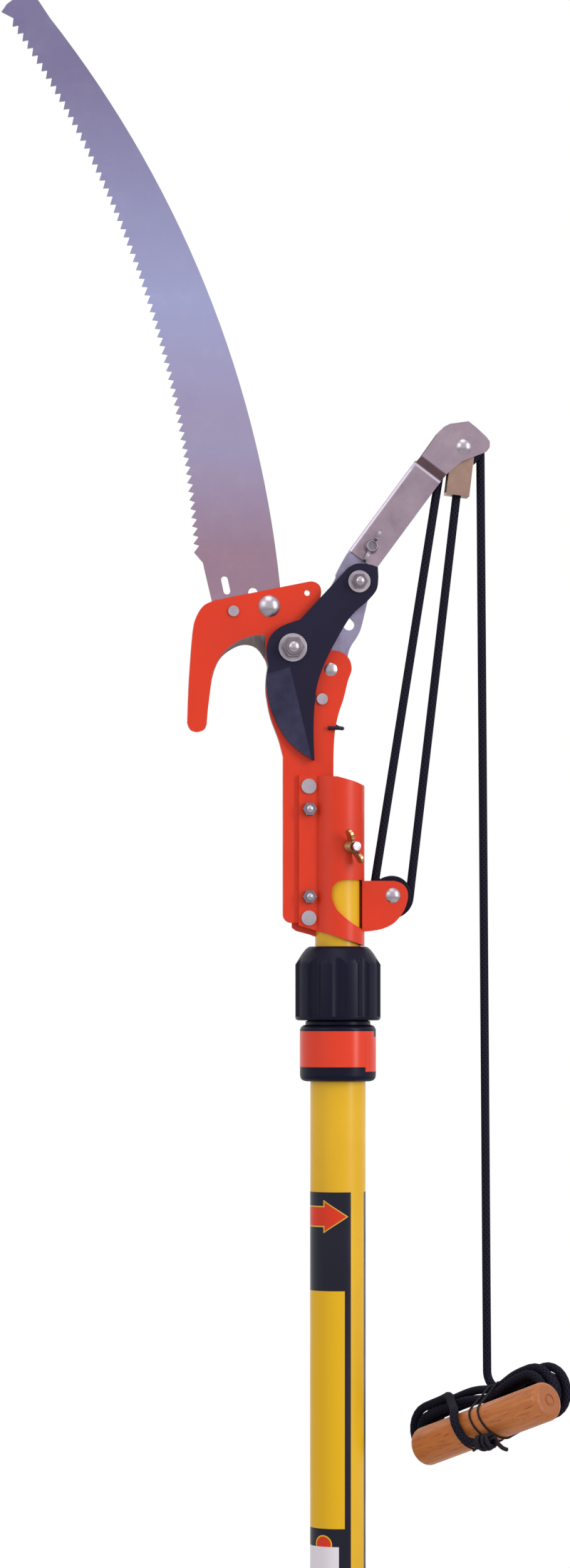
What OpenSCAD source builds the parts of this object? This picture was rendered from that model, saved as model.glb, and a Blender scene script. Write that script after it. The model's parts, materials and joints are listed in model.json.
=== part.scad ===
// Telescoping tree pruner pole: hook and blade head with a saw, worked by a rope tackle.
// Millimetres, +Z up. The origin is the centre of the pole's butt, X to the right and Y away from the front.

/* [Poles] */
// Outside diameter of the lower pole
outer_pole_d = 32; // [30:0.5:35]
// Wall of the lower pole
outer_pole_wall = 2.3; // [1.8:0.1:3]
// Lower pole from its butt to the collar
pole_len = 1500; // [1200:10:2200]
// Radial play between the two poles
pole_play = 0.5; // [0.3:0.05:0.8]
// Wall of the upper pole
inner_pole_wall = 2.2; // [1.6:0.1:3]
// Height of the upper pole's lower end above the butt when pushed in
inner_start = 70; // [50:5:150]
// Upper pole above the collar's lower edge
inner_top = 164; // [140:1:170]
// Depth of the plug in the butt
butt_plug_h = 24; // [12:1:40]
// Radial clearance of parts that turn or slide
run_clear = 0.06; // [0.03:0.01:0.15]
// Gap between flat faces that pass each other
side_gap = 0.3; // [0.2:0.05:0.5]

/* [Twist collar] */
// Radial step of the fixed collar over the pole
collar_wall = 6; // [6:0.1:9]
// Height of the fixed collar
collar_h = 32.5; // [26:0.5:40]
// Radial step of the neck between collar and nut
neck_wall = 2.8; // [2.4:0.1:3.6]
// Gap that shows the neck
neck_h = 2.7; // [2:0.1:5]
// Radial step of the turning nut over the pole
nut_wall = 8.7; // [7.5:0.1:11]
// Height of the turning nut
nut_h = 42.7; // [38:0.1:50]
// Number of grip flutes
flutes = 10; // [8:1:12]
// Depth of a flute
flute_depth = 2; // [1:0.1:2.6]
// Width of a collet slot
collet_slot = 2.4; // [1.5:0.1:3]

/* [Head] */
// Thickness of the hook plate
plate_t = 4; // [3:0.1:5]
// Thickness of the cutting blade
blade_t = 4; // [3:0.1:5]
// Thickness of the lever plate
lever_t = 4; // [3:0.1:5]
// Sheet of the pole sleeve
sheet_t = 2.2; // [1.6:0.1:3]
// Thickness of the saw blade
saw_t = 1.6; // [1:0.1:2]
// Number of saw teeth
saw_teeth = 65; // [50:1:75]
// Depth of a saw tooth
tooth_depth = 3.2; // [2:0.1:4]
// Radius of the blade's pivot bolt
pivot_r = 4; // [3.3:0.1:5]
// Radius of the lever's pivot rivet
lever_pin_r = 3; // [2.4:0.1:3.6]
// Radius of the drive bush that runs in the lever's slot
bush_r = 2.9; // [2.6:0.1:3.4]
// Side play of the bush in the slot
slot_play = 0.35; // [0.2:0.05:0.6]
// Lever turn from open to shut, in degrees
lever_turn = 84; // [60:1:84]
// Blade turn for each degree of the lever
blade_ratio = 0.78; // [0.74:0.01:0.82]

/* [Arm and sheaves] */
// Sheet of the channel arm
arm_t = 2; // [1.5:0.1:2.5]
// Width of the channel arm
arm_w = 19; // [17:0.2:22]
// Length of the channel part of the arm
arm_len = 64.9; // [58:0.1:69]
// Gap between the cheeks of the arm's head
cheek_gap = 12; // [11.6:0.1:15]
// Outer radius of a rope sheave
sheave_r = 11.6; // [11:0.1:13]
// Wall of a sheave beside its groove
sheave_wall = 1.15; // [0.9:0.05:1.3]
// Radius of the axles
axle_r = 2.5; // [2:0.1:3]
// Sheet of the becket strap
becket_t = 1.2; // [0.8:0.05:1.3]

/* [Rope and handle] */
// Diameter of the rope
rope_d = 5; // [4:0.1:5.4]
// Radius of the groove under the rope
groove_r = 8.2; // [7.4:0.1:9]
// Length of the pull handle
handle_len = 105; // [90:1:120]
// Diameter of the pull handle
handle_d = 22.6; // [19:0.2:26]
// Rounding of the handle's ends
handle_round = 4; // [2:0.5:6]
// Wire of the return spring
spring_wire = 2.2; // [1.6:0.1:2.6]

/* [Hidden] */
$fn = 48;

// Poles and collar
outer_r = outer_pole_d / 2;
outer_in_r = outer_r - outer_pole_wall;
inner_r = outer_in_r - pole_play;
inner_in_r = inner_r - inner_pole_wall;
seat_r = outer_r - 0.4;
neck_r = outer_r + neck_wall;
collar_r = outer_r + collar_wall;
seat_h = collar_h - 2.5;
spigot_r = neck_r - 1.2;
collet_in_r = inner_r + 0.4;
nut_z = collar_h + neck_h;
nut_r = outer_r + nut_wall;
nut_top = nut_z + nut_h;
spigot_top = nut_z + 16.8;
collet_top = spigot_top + 12;

// The head sits on the nut, and its lower part widens with the pole
head_lift = nut_top - 77.9;
widen = inner_r - 13.2;

// Depths, from the rope's plane at Y = 0 forwards
lever_y = -lever_t / 2;
plate_back = lever_y - side_gap;
plate_front = plate_back - plate_t;
blade_back = plate_front - side_gap;
blade_front = blade_back - blade_t;
relief = 1.3;
washer_t = 1.2;
head_in = 0.4;
pivot_wash_front = blade_front - side_gap - washer_t;

// Pivots as X and height above the collar's lower edge
P0 = [-27.5, 249.8];
P1 = [11.1, 288.2];
L0 = [-4.9, 237.7];
UP = [72.6, 367.1];
LO = [31.1 + widen, 107.3];
SAW_AT = [-40.5, 273.9];
SAW_PIN = [-61.3, 270.9];
STOP_AT = [-9.9, 220.6];
RIVET_AT = [[-17.9 - widen, 170.2], [-17.9 - widen, 94.2]];
BOLT_AT = [[-17.6 - widen, 157], [-17.6 - widen, 106.5]];
CLAMP_Z = 135.2;
CLAMP_TURN = 20;
pitch_r = groove_r + rope_d / 2;
groove_half = rope_d / 2 + 0.35;
sheave_half = groove_half + sheave_wall;
ARM_TURN = 36.46;
ARM_AT = [13.8, 301.3];
ARM_BOLT = [9.2, -0.5];

function unit(v) = v / norm(v);
function turn2(p, a) = [p[0] * cos(a) - p[1] * sin(a), p[0] * sin(a) + p[1] * cos(a)];
function spin_about(p, c, a) = c + turn2(p - c, a);

// A smooth line through the given points, in two or three dimensions
function mix4(a, b, c, d, t) = 0.5 * (2 * b + (c - a) * t + (2 * a - 5 * b + 4 * c - d) * t * t
    + (3 * b - a - 3 * c + d) * t * t * t);
function curve(p, n) = concat([for (i = [0 : len(p) - 2]) for (k = [0 : n - 1])
    mix4(p[max(i - 1, 0)], p[i], p[i + 1], p[min(i + 2, len(p) - 1)], k / n)], [p[len(p) - 1]]);
function arc2(c, r, a0, a1, n) = [for (k = [0 : n]) c + r * [cos(a0 + (a1 - a0) * k / n),
    sin(a0 + (a1 - a0) * k / n)]];

// Height of the collar's lower edge
module on_pole() {
    translate([0, 0, pole_len])
        children();
}

// Height from which the head's places are counted
module up() {
    translate([0, 0, pole_len + head_lift])
        children();
}

// A flat shape drawn in X and height, from depth y0 back to y1
module plate(y0, y1) {
    translate([0, y1, 0])
        rotate([90, 0, 0])
            linear_extrude(y1 - y0)
                children();
}

// A round bar along Y at p
module ybar(p, y0, y1, r) {
    translate([p[0], y1, p[1]])
        rotate([90, 0, 0])
            cylinder(h = y1 - y0, r = r);
}

// A hexagon along Y at p
module yhex(p, y0, y1, r) {
    translate([p[0], y1, p[1]])
        rotate([90, 0, 0])
            cylinder(h = y1 - y0, r = r, $fn = 6);
}

// A low dome on a face at depth y, rising towards the front for way = -1
module ydome(p, y, r, h, way) {
    ball = (r * r + h * h) / (2 * h);
    intersection() {
        translate([p[0], y + way * (h - ball), p[1]])
            sphere(r = ball);
        ybar(p, min(y, y + way * (h + 1)), max(y, y + way * (h + 1)), r + 1);
    }
}

// A nut with two upright wings, base at Z = 0
module wing_nut(bore, base_r, hub_h, tip_r) {
    wing = 1.8;
    difference() {
        union() {
            cylinder(r1 = base_r, r2 = base_r - 1.2, h = hub_h);
            for (s = [0, 180])
                rotate([0, 0, s])
                    translate([0, wing / 2, 0])
                        rotate([90, 0, 0])
                            linear_extrude(wing)
                                union() {
                                    polygon([[1, 0.8], [base_r - 0.6, 0.8], [tip_r - 0.6, hub_h - 0.6],
                                        [tip_r - 6, hub_h + 3]]);
                                    translate([tip_r - 3.1, hub_h + 0.8])
                                        circle(3.1);
                                }
        }
        translate([0, 0, -1])
            cylinder(r = bore, h = hub_h + 12);
    }
}

// One unbroken tube along the points of a line
module tube(p, r, sides) {
    n = len(p);
    t = [for (i = [0 : n - 1]) unit(p[min(i + 1, n - 1)] - p[max(i - 1, 0)])];
    first = unit(cross(t[0], abs(t[0][1]) < 0.8 ? [0, 1, 0] : [1, 0, 0]));
    u = [for (i = 0, a = first; i < n; i = i + 1, a = i < n ? unit(a - (a * t[i]) * t[i]) : a) a];
    points = [for (i = [0 : n - 1]) for (k = [0 : sides - 1])
        p[i] + r * (cos(360 * k / sides) * u[i] + sin(360 * k / sides) * cross(t[i], u[i]))];
    walls = [for (i = [0 : n - 2]) for (k = [0 : sides - 1]) for (h = [0, 1])
        let (a = i * sides + k, b = i * sides + (k + 1) % sides)
            h == 0 ? [a, a + sides, b] : [b, a + sides, b + sides]];
    first_end = [for (k = [0 : sides - 1]) k];
    last_end = [for (k = [0 : sides - 1]) (n - 1) * sides + sides - 1 - k];
    polyhedron(points, concat(walls, [first_end], [last_end]));
}

// A closed tube, for a string that is tied round something
module ring_tube(p, r, sides) {
    n = len(p);
    t = [for (i = [0 : n - 1]) unit(p[(i + 1) % n] - p[(i + n - 1) % n])];
    points = [for (i = [0 : n - 1]) for (k = [0 : sides - 1])
        p[i] + r * (cos(360 * k / sides) * HX + sin(360 * k / sides) * unit(cross(t[i], HX)))];
    walls = [for (i = [0 : n - 1]) for (k = [0 : sides - 1]) for (h = [0, 1])
        let (j = (i + 1) % n, m = (k + 1) % sides)
            h == 0 ? [i * sides + k, j * sides + k, i * sides + m]
                : [i * sides + m, j * sides + k, j * sides + m]];
    polyhedron(points, walls);
}

// Lower pole, with a slightly thinner seat for the collar
module outer_pole() {
    color("gold")
        difference() {
            union() {
                cylinder(r = outer_r, h = pole_len);
                cylinder(r = seat_r, h = pole_len + seat_h);
            }
            translate([0, 0, -1])
                cylinder(r = outer_in_r, h = pole_len + seat_h + 2);
        }
}

module butt_plug() {
    color("dimgray")
        difference() {
            translate([0, 0, 0.5])
                cylinder(r = outer_in_r, h = butt_plug_h);
            translate([0, 0, 4])
                cylinder(r = outer_in_r - 2.5, h = butt_plug_h);
        }
}

module collar_body() {
    r = collar_r;
    color("black")
        on_pole()
            rotate_extrude()
                polygon([[seat_r, 0], [r - 3.2, 0], [r - 1.2, 0.7], [r - 0.3, 2], [r, 3.6],
                    [r, collar_h - 2.6], [r - 0.8, collar_h - 0.8], [r - 2.2, collar_h],
                    [neck_r, collar_h], [neck_r, nut_z - side_gap],
                    [spigot_r, nut_z - side_gap], [spigot_r, spigot_top], [seat_r, spigot_top]]);
}

// Split ring that the nut squeezes on the upper pole
module collet() {
    color("dimgray")
        on_pole()
            difference() {
                translate([0, 0, seat_h])
                    cylinder(r = seat_r, h = collet_top - seat_h);
                cylinder(r = collet_in_r, h = collet_top + 1);
                for (a = [0 : 60 : 120])
                    rotate([0, 0, a])
                        translate([-30, -collet_slot / 2, seat_h + 15])
                            cube([60, collet_slot, 30]);
            }
}

module collar_nut() {
    grip_r = 6.5;
    color("black")
        on_pole()
            difference() {
                rotate_extrude()
                    polygon([[spigot_r + 0.4, nut_z], [nut_r - 1.6, nut_z], [nut_r - 0.4, nut_z + 0.5],
                        [nut_r, nut_z + 1.6], [nut_r, nut_top - 10.4], [nut_r - 3.8, nut_top - 4.3],
                        [nut_r - 5.9, nut_top - 1.6], [nut_r - 7.4, nut_top - 0.4], [nut_r - 8.4, nut_top],
                        [inner_r + 0.5, nut_top], [inner_r + 0.5, collet_top + 0.5],
                        [seat_r + 0.5, collet_top + 0.5], [seat_r + 0.5, spigot_top + 0.5],
                        [spigot_r + 0.4, spigot_top + 0.5]]);
                for (i = [0 : flutes - 1])
                    rotate([0, 0, i * 360 / flutes - 95])
                        translate([nut_r + grip_r - flute_depth, 0, nut_z + 2.2])
                            cylinder(r = grip_r, h = nut_h);
            }
}

module inner_pole() {
    color("gold")
        difference() {
            translate([0, 0, inner_start])
                cylinder(r = inner_r, h = pole_len + head_lift + inner_top - inner_start);
            translate([0, 0, inner_start - 1])
                cylinder(r = inner_in_r, h = pole_len + head_lift + inner_top - inner_start + 2);
            clamp_drill(2.6);
        }
}

// Plug that guides the upper pole's lower end inside the lower pole
module inner_bushing() {
    color("dimgray")
        difference() {
            union() {
                translate([0, 0, inner_start - 10])
                    cylinder(r = outer_in_r - run_clear, h = 10);
                translate([0, 0, inner_start])
                    cylinder(r = inner_in_r, h = 20);
            }
            translate([0, 0, inner_start - 11])
                cylinder(r = inner_in_r - 2.5, h = 40);
        }
}

// Hook plate
NECK = [[-32.5 - widen, 187.2], [-35.1, 196.9], [-39.8, 209.5], [-42.2, 221.4], [-42.6, 229.2], [-41.6, 238]];
THROAT = [[-41.6, 239], [-43, 243.4], [-47.7, 249.7], [-54, 251.7], [-61.1, 249.7], [-69, 243.4],
    [-73.3, 233.2], [-75.7, 217.4], [-76.8, 205.6]];
HOOK_END = [[-76.8, 205.6], [-78.2, 202.6], [-82.3, 201.2], [-86.2, 202.6], [-87.9, 206.4]];
HOOK_BACK = [[-87.9, 206.4], [-86.9, 232], [-84.8, 258.5], [-82.6, 267.6], [-78.4, 274], [-72.1, 277]];
PLATE_EAR = [[-20, 287.8], [-15.6, 288.4], [-11.8, 286.6], [-10.4, 282], [-12.4, 272], [-13.4, 262],
    [-11, 253.4], [-5.1, 248.7]];
PLATE_TAB = [[-5.1, 248.7], [-0.9, 248.5], [3, 246.9], [5.9, 243.8], [7.1, 240.2], [7.1, 236.7],
    [5, 230.8], [2.6, 221], [-0.3, 212.3], [-2.4, 202], [-3.2, 190], [-3.3, 176]];

module head_shape() {
    polygon(concat(arc2([-27.5 - widen, 96.4], 5, 270, 180, 8), curve(NECK, 4), curve(THROAT, 5),
        curve(HOOK_END, 4), curve(HOOK_BACK, 4), curve(PLATE_EAR, 4), curve(PLATE_TAB, 4),
        [[-3.3, inner_top + 3], [-inner_r - 0.4, inner_top + 3], [-inner_r - 0.4, 91.4]]));
}

module head_plate() {
    color("orangered")
        up()
            difference() {
                plate(plate_front, plate_back)
                    head_shape();
                ybar([-18.5, 281.8], plate_front - 1, plate_back + 1, 1.7);
                ybar(P0, plate_front - 1, plate_back + 1, pivot_r);
                ybar(L0, plate_front - 1, plate_back + 1, lever_pin_r);
                ybar(STOP_AT, plate_front - 1, plate_back + 1, 2);
                ybar(SAW_AT, plate_front - 1, plate_back + 1, 3);
                ybar(SAW_PIN, plate_front - 1, plate_back + 1, 2);
                for (p = RIVET_AT)
                    ybar(p, plate_front - 1, plate_back + 1, 2.5);
                for (p = BOLT_AT)
                    ybar(p, plate_front - 1, plate_back + 1, 2);
                throat_grind();
            }
}

// Ground bevel round the throat, on the face towards the blade
module throat_grind() {
    intersection() {
        translate([-44, plate_front + 0.8 * plate_t, 227])
            rotate([90, 0, 0])
                cylinder(r1 = 24.6, r2 = 31.5, h = 0.8 * plate_t + 0.4);
        translate([-100, -30, 200])
            cube([57, 60, 70]);
    }
}

// Sleeve of bent sheet round the pole, with two ears bent out for the lower sheave
RIM = 16 + widen + sheet_t;
SLEEVE_TOP = [[RIM, 169.5], [8, 173], [-2, 175.6], [-12 - RIM, 176.9]];
FRONT_LOW = [[-12 - RIM, 91.3], [-23.6 - widen, 90], [14.3, 78.4], [RIM, 77.9]];
REAR_LOW = [[-12 - RIM, 91.2], [-24.6 - widen, 86.9], [-13.5, 83.9], [14.3, 78.4], [RIM, 77.9]];
WINDOW = [for (p = [[13.3, 116.2], [3.3, 116.2], [-1.6, 115], [-4.6, 112.2], [-5.5, 108.5], [-4.6, 103.6],
    [-1.4, 97.8], [6.3, 91.5], [13.3, 87.7]]) p + [widen, 0]];
EAR_EDGE = [for (p = [[31.6, 115.8], [35.8, 114.6], [38.8, 111.8], [39.9, 108.1], [39.4, 103.6], [37, 97.6],
    [32.2, 91.8], [27.2, 88.9], [21.8, 87.3], [14.9, 86.6]]) p + [widen, 0]];
ear_root = inner_r + 0.1;
ear_out = sqrt(pow(inner_r + sheet_t, 2) - pow(ear_root, 2));

module sleeve_section() {
    r = inner_r + sheet_t;
    fil = 1.2;
    y = plate_front - sheet_t;
    x = -sqrt(pow(r + fil, 2) - pow(y - fil, 2));
    difference() {
        union() {
            circle(r, $fn = 96);
            translate([-23.6 - widen, y])
                square([14, sheet_t]);
            translate([-27 - widen, plate_back])
                square([16, sheet_t]);
            difference() {
                polygon([[x, y], [-inner_r, y], [x * r / (r + fil), (y - fil) * r / (r + fil)],
                    [x, y - fil]]);
                translate([x, y - fil])
                    circle(fil);
            }
        }
        circle(inner_r, $fn = 96);
        translate([-40, plate_front])
            square([31, plate_t]);
    }
}

module sleeve() {
    mid = (plate_front + plate_back) / 2;
    color("orangered")
        up()
            difference() {
                union() {
                    difference() {
                        intersection() {
                            translate([0, 0, 70])
                                linear_extrude(115)
                                    sleeve_section();
                            union() {
                                plate(-30, mid)
                                    polygon(concat(SLEEVE_TOP, FRONT_LOW));
                                plate(mid, 30)
                                    polygon(concat(SLEEVE_TOP, REAR_LOW));
                            }
                        }
                        plate(-30, -1)
                            polygon(concat(curve(WINDOW, 4)));
                        plate(1, 30)
                            polygon(concat(curve(WINDOW, 4)));
                    }
                    for (y = [-ear_out, ear_out - sheet_t])
                        plate(y, y + sheet_t)
                            polygon(concat([[ear_root, 86.6], [ear_root, 115.8]], curve(EAR_EDGE, 3)));
                }
                ybar(LO, -20, 20, axle_r);
                for (p = RIVET_AT)
                    ybar(p, -15, 5, 2.5);
                for (p = BOLT_AT)
                    ybar(p, -15, 5, 2);
                translate([0, 0, -pole_len - head_lift])
                    clamp_drill(2.6);
            }
}

// Trims a head where it would reach into the sleeve's barrel
module off_barrel() {
    difference() {
        children();
        cylinder(r = inner_r + sheet_t + 0.1, h = 300);
    }
}

// Two flat rivets through the sleeve's flanges and the plate
module sleeve_rivets() {
    f = plate_front - sheet_t;
    b = plate_back + sheet_t;
    color("silver")
        up()
            for (p = RIVET_AT) {
                ybar(p, f, b, 2.5);
                ybar(p, f - 1.1, f, 4.3);
                off_barrel()
                    ybar(p, b, b + 1.1, 4.3);
            }
}

module sleeve_bolts() {
    f = plate_front - sheet_t;
    b = plate_back + sheet_t;
    color("silver")
        up()
            for (p = BOLT_AT) {
                ybar(p, f - 4.6, b, 2);
                ydome(p, f - 4.6, 1.7, 0.6, -1);
                off_barrel()
                    ydome(p, b, 4.2, 2.2, 1);
            }
}

module sleeve_nuts() {
    f = plate_front - sheet_t;
    color("silver")
        up()
            for (p = BOLT_AT)
                difference() {
                    yhex(p, f - 3.2, f, 4.1);
                    ybar(p, f - 4, f + 1, 2);
                }
}

// Line of the bolt that pins the sleeve to the pole
module clamp_frame() {
    translate([0, 0, pole_len + head_lift + CLAMP_Z])
        rotate([0, 0, CLAMP_TURN])
            rotate([90, 0, 0])
                children();
}

module clamp_drill(r) {
    clamp_frame()
        translate([0, 0, -40])
            cylinder(r = r, h = 80);
}

module clamp_bolt() {
    r = inner_r + sheet_t;
    color("silver")
        clamp_frame() {
            translate([0, 0, -r - 0.6])
                cylinder(r = 2.5, h = 2 * r + 9.8);
            translate([0, 0, -r - 3])
                cylinder(r1 = 3.4, r2 = 5, h = 2.4);
        }
}

module clamp_wing_nut() {
    color("goldenrod")
        clamp_frame()
            translate([0, 0, inner_r + sheet_t + side_gap])
                rotate([0, 0, 115])
                    wing_nut(2.5 + run_clear, 4, 5.2, 10.6);
}

module lower_axle() {
    color("silver")
        up() {
            ybar(LO, -ear_out - head_in, ear_out + head_in, axle_r);
            ydome(LO, -ear_out, axle_r + 1.9, 2, -1);
            ydome(LO, ear_out, axle_r + 1.9, 2, 1);
        }
}

// Grooved wheel at p
module sheave(p) {
    floor_r = groove_r - 0.3;
    half = groove_half;
    up()
        translate([p[0], 0, p[1]])
            rotate([90, 0, 0])
                rotate_extrude()
                    difference() {
                        polygon([[axle_r + run_clear, -sheave_half], [6.4, -sheave_half],
                            [6.4, 0.4 - sheave_half], [sheave_r - 0.5, 0.4 - sheave_half],
                            [sheave_r, 0.9 - sheave_half], [sheave_r, sheave_half - 0.9],
                            [sheave_r - 0.5, sheave_half - 0.4], [6.4, sheave_half - 0.4],
                            [6.4, sheave_half], [axle_r + run_clear, sheave_half]]);
                        translate([floor_r + half, 0])
                            circle(half);
                        translate([floor_r + half, -half])
                            square([10, 2 * half]);
                    }
}

module lower_sheave() {
    color("black")
        sheave(LO);
}

module upper_sheave() {
    color("black")
        sheave(UP);
}

// Cutting blade and its tail, in one piece
BLADE_BACK = [[-14.8, 184.9], [-15.3, 197], [-15.2, 209.2], [-14.4, 220], [-12.9, 229.8],
    [-8.6, 241.6], [-2.6, 253.5], [6.3, 268.1], [16.6, 277.7], [21.4, 284], [22.3, 291]];
BLADE_END = [[14, 298.6], [9, 298.4], [4.6, 296]];
BLADE_BOSS = [[-23.2, 265.9], [-28, 264.4], [-33.5, 262.2], [-38.2, 258.8], [-41, 254.6], [-42.4, 249],
    [-42.4, 244], [-41.5, 239.2]];
BLADE_EDGE = [[-41.5, 239.2], [-42.5, 233], [-42.4, 226.9], [-39.5, 213.6], [-32.1, 198.9], [-23.2, 190.1],
    [-14.8, 184.9]];

module cutting_blade() {
    color("black")
        up()
            difference() {
                plate(blade_front, blade_back)
                    polygon(concat(curve(BLADE_BACK, 4), [[22, 296.6], [18.8, 297.8]], curve(BLADE_END, 3),
                        curve(BLADE_BOSS, 3), curve(BLADE_EDGE, 5)));
                plate(blade_back - relief, blade_back + 1)
                    difference() {
                        polygon([P0 + 18 * [cos(-24), sin(-24)], P0 + 90 * [cos(-24), sin(-24)],
                            P0 + [90, 90], P0 + [0, 90], P0 + 18 * [cos(75), sin(75)]]);
                        translate(P0)
                            circle(20.6);
                    }
                ybar(P0, blade_front - 1, blade_back + 1, pivot_r + run_clear);
                ybar(P1, blade_front - 1, blade_back + 1, 2.45);
                edge_grind();
            }
}

// Ground bevel of the cutting edge, hinged on a straight line down the blade's face
module edge_grind() {
    fall = atan(0.62 * blade_t / 20);
    translate([-27.6, blade_front, 236])
        rotate([0, -13.3, 0])
            rotate([0, 0, -fall])
                translate([-40, -10, -70])
                    cube([40, 10, 73]);
}

module pivot_bolt() {
    color("silver")
        up() {
            yhex(P0, plate_back, plate_back + 4, 6.4);
            ybar(P0, blade_front - side_gap, plate_back, pivot_r);
            ybar(P0, pivot_wash_front - 6.4, blade_front - side_gap, 3);
            ydome(P0, pivot_wash_front - 6.4, 2.7, 0.8, -1);
        }
}

module pivot_washer() {
    color("silver")
        up()
            difference() {
                ybar(P0, pivot_wash_front, pivot_wash_front + washer_t, 8.2);
                ybar(P0, pivot_wash_front - 1, pivot_wash_front + washer_t + 1, 3);
            }
}

module pivot_nut() {
    color("silver")
        up()
            difference() {
                union() {
                    yhex(P0, pivot_wash_front - 4.4, pivot_wash_front, 6.4);
                    ybar(P0, pivot_wash_front - 5.6, pivot_wash_front - 4.4, 4.6);
                }
                ybar(P0, pivot_wash_front - 8, pivot_wash_front + 1, 3);
            }
}

// Shoulder bolt that carries the blade's drive into the lever's slot
module drive_bolt() {
    back = lever_t / 2 + side_gap;
    color("silver")
        up() {
            ybar(P1, blade_back - relief, back, bush_r);
            ybar(P1, blade_front - 6.6, blade_back - relief, 2.45);
            ydome(P1, blade_front - 6.6, 2.15, 0.7, -1);
            ybar(P1, back, back + 2.6, 5.4);
        }
}

module drive_washer() {
    color("silver")
        up()
            difference() {
                ybar(P1, blade_front - washer_t, blade_front, 6.4);
                ybar(P1, blade_front - washer_t - 1, blade_front + 1, 2.45);
            }
}

module drive_nut() {
    f = blade_front - washer_t;
    color("silver")
        up()
            difference() {
                union() {
                    yhex(P1, f - 3.4, f, 4.6);
                    ybar(P1, f - 4.5, f - 3.4, 3.5);
                }
                ybar(P1, f - 8, f + 1, 2.45);
            }
}

// Lever plate. Its slot follows the drive bolt, so that lever and blade turn in one fixed ratio.
LEVER_RIGHT = [[19.6, 297], [19.4, 286], [17.2, 277.7], [15.6, 271], [13.3, 261.9], [10.9, 256.9],
    [6.9, 250.6], [5.4, 244.5], [4.4, 236.4], [1.6, 231]];
LEVER_LEFT = [[-11.4, 231], [-14.2, 238], [-13.8, 247], [-12.6, 258], [-10.5, 270], [-6.6, 281.6],
    [-1.6, 290.8], [-1.3, 293.2], [2, 299.6], [5.7, 306]];
slot_half = bush_r + slot_play;
function pin_at(b) = spin_about(P1, P0, -b);
function slot_mid(b) = spin_about(pin_at(b), L0, b / blade_ratio);
slot_end = lever_turn * blade_ratio;
SLOT = [for (k = [0 : 16]) slot_mid(slot_end * k / 16)];
SLOT_WAY = [for (k = [0 : 16]) unit(SLOT[min(k + 1, 16)] - SLOT[max(k - 1, 0)])];
SPRING_EYE = [-6, 257.6];

module slot_shape() {
    left = [for (k = [0 : 16]) SLOT[k] + slot_half * [-SLOT_WAY[k][1], SLOT_WAY[k][0]]];
    right = [for (k = [0 : 16]) SLOT[16 - k] + slot_half * [SLOT_WAY[16 - k][1], -SLOT_WAY[16 - k][0]]];
    polygon(concat(left, right));
    translate(SLOT[0])
        circle(slot_half);
    translate(SLOT[16])
        circle(slot_half);
    translate(SLOT[16] + 1.6 * SLOT_WAY[16])
        circle(slot_half);
}

// Moves a shape drawn along the arm (first number) and across it to its place
function on_arm(p) = ARM_AT + p[0] * [sin(ARM_TURN), cos(ARM_TURN)] + p[1] * [cos(ARM_TURN), -sin(ARM_TURN)];

module lever_plate() {
    inner = arm_w / 2 - arm_t;
    color("lightsteelblue")
        up()
            difference() {
                plate(lever_y, -lever_y)
                    difference() {
                        polygon(concat([on_arm([44, inner - 2]), on_arm([4, inner - 0.2])],
                            curve(LEVER_RIGHT, 3), [[-2, 229.4], [-7.6, 229.2]], curve(LEVER_LEFT, 3),
                            [on_arm([-0.3, -inner]), on_arm([44, -inner])]));
                        slot_shape();
                    }
                ybar(L0, -10, 10, lever_pin_r + run_clear);
                ybar(SPRING_EYE, -10, 10, spring_wire / 2 + 0.5);
                ybar(on_arm(ARM_BOLT), -10, 10, 2.5);
            }
}

// Pivot rivet of the lever; the return spring sits on its tail
spring_y = lever_t / 2 + 0.6 + spring_wire / 2;
spring_step = spring_wire + 0.55;
COIL_START = 250;
COIL_STEPS = 25;
spring_r = lever_pin_r + spring_wire / 2 + 0.8;
spring_last = spring_y + spring_step * COIL_STEPS / 8;

module lever_rivet() {
    tail = spring_last + spring_wire / 2 + 0.6;
    color("silver")
        up() {
            ybar(L0, plate_front - head_in, tail + head_in, lever_pin_r);
            ydome(L0, plate_front, lever_pin_r + 0.8, 1, -1);
            ydome(L0, tail, spring_r + 1, 1.6, 1);
        }
}

module stop_rivet() {
    color("silver")
        up() {
            ybar(STOP_AT, plate_front - 1.2, plate_front, 3.2);
            ybar(STOP_AT, plate_front, plate_back + 1.2, 2);
            ydome(STOP_AT, plate_back, 3.2, 1.4, 1);
        }
}

// Torsion spring: one leg hooks over the plate's edge, the other in the lever's eye
function coil_at(a) = [L0[0] + spring_r * sin(a), spring_y + spring_step * (a - COIL_START) / 360,
    L0[1] + spring_r * cos(a)];
hook_y = plate_front - spring_wire / 2 - 0.35;
hide_y = plate_back + spring_wire / 2 + 0.5;
HOOK_LEG = [[-6.7, hook_y, 203.8], [-3.5, hook_y, 203.8], [-0.6, hook_y, 203.8], [1.3, hook_y + 0.9, 203.8],
    [2.1, plate_front + 1.4, 203.8], [2.1, plate_back - 0.6, 203.9], [1.3, hide_y, 204.2],
    [-1.4, hide_y + 1.1, 205.6], [-4.6, spring_y - 0.7, 210],
    [-7.4, spring_y - 0.1, 218], [-9, spring_y - 0.05, 227]];
EYE_LEG = [[-8.6, spring_last + 0.1, 246], [-7.4, spring_last, 251.6], [-6.6, spring_last - 1.1, 255.8],
    [-6.1, spring_last - 2.6, 257.3], [-6, spring_last - 4.6, 257.6], [-6, lever_t / 2 - 0.4, 257.6],
    [-6, -0.3 * lever_t / 2, 257.6]];
COIL = [for (k = [0 : COIL_STEPS]) coil_at(COIL_START + 45 * k)];
SPRING = concat(HOOK_LEG, COIL, EYE_LEG);

module return_spring() {
    color("black")
        up()
            tube(SPRING, spring_wire / 2, 6);
}

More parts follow.
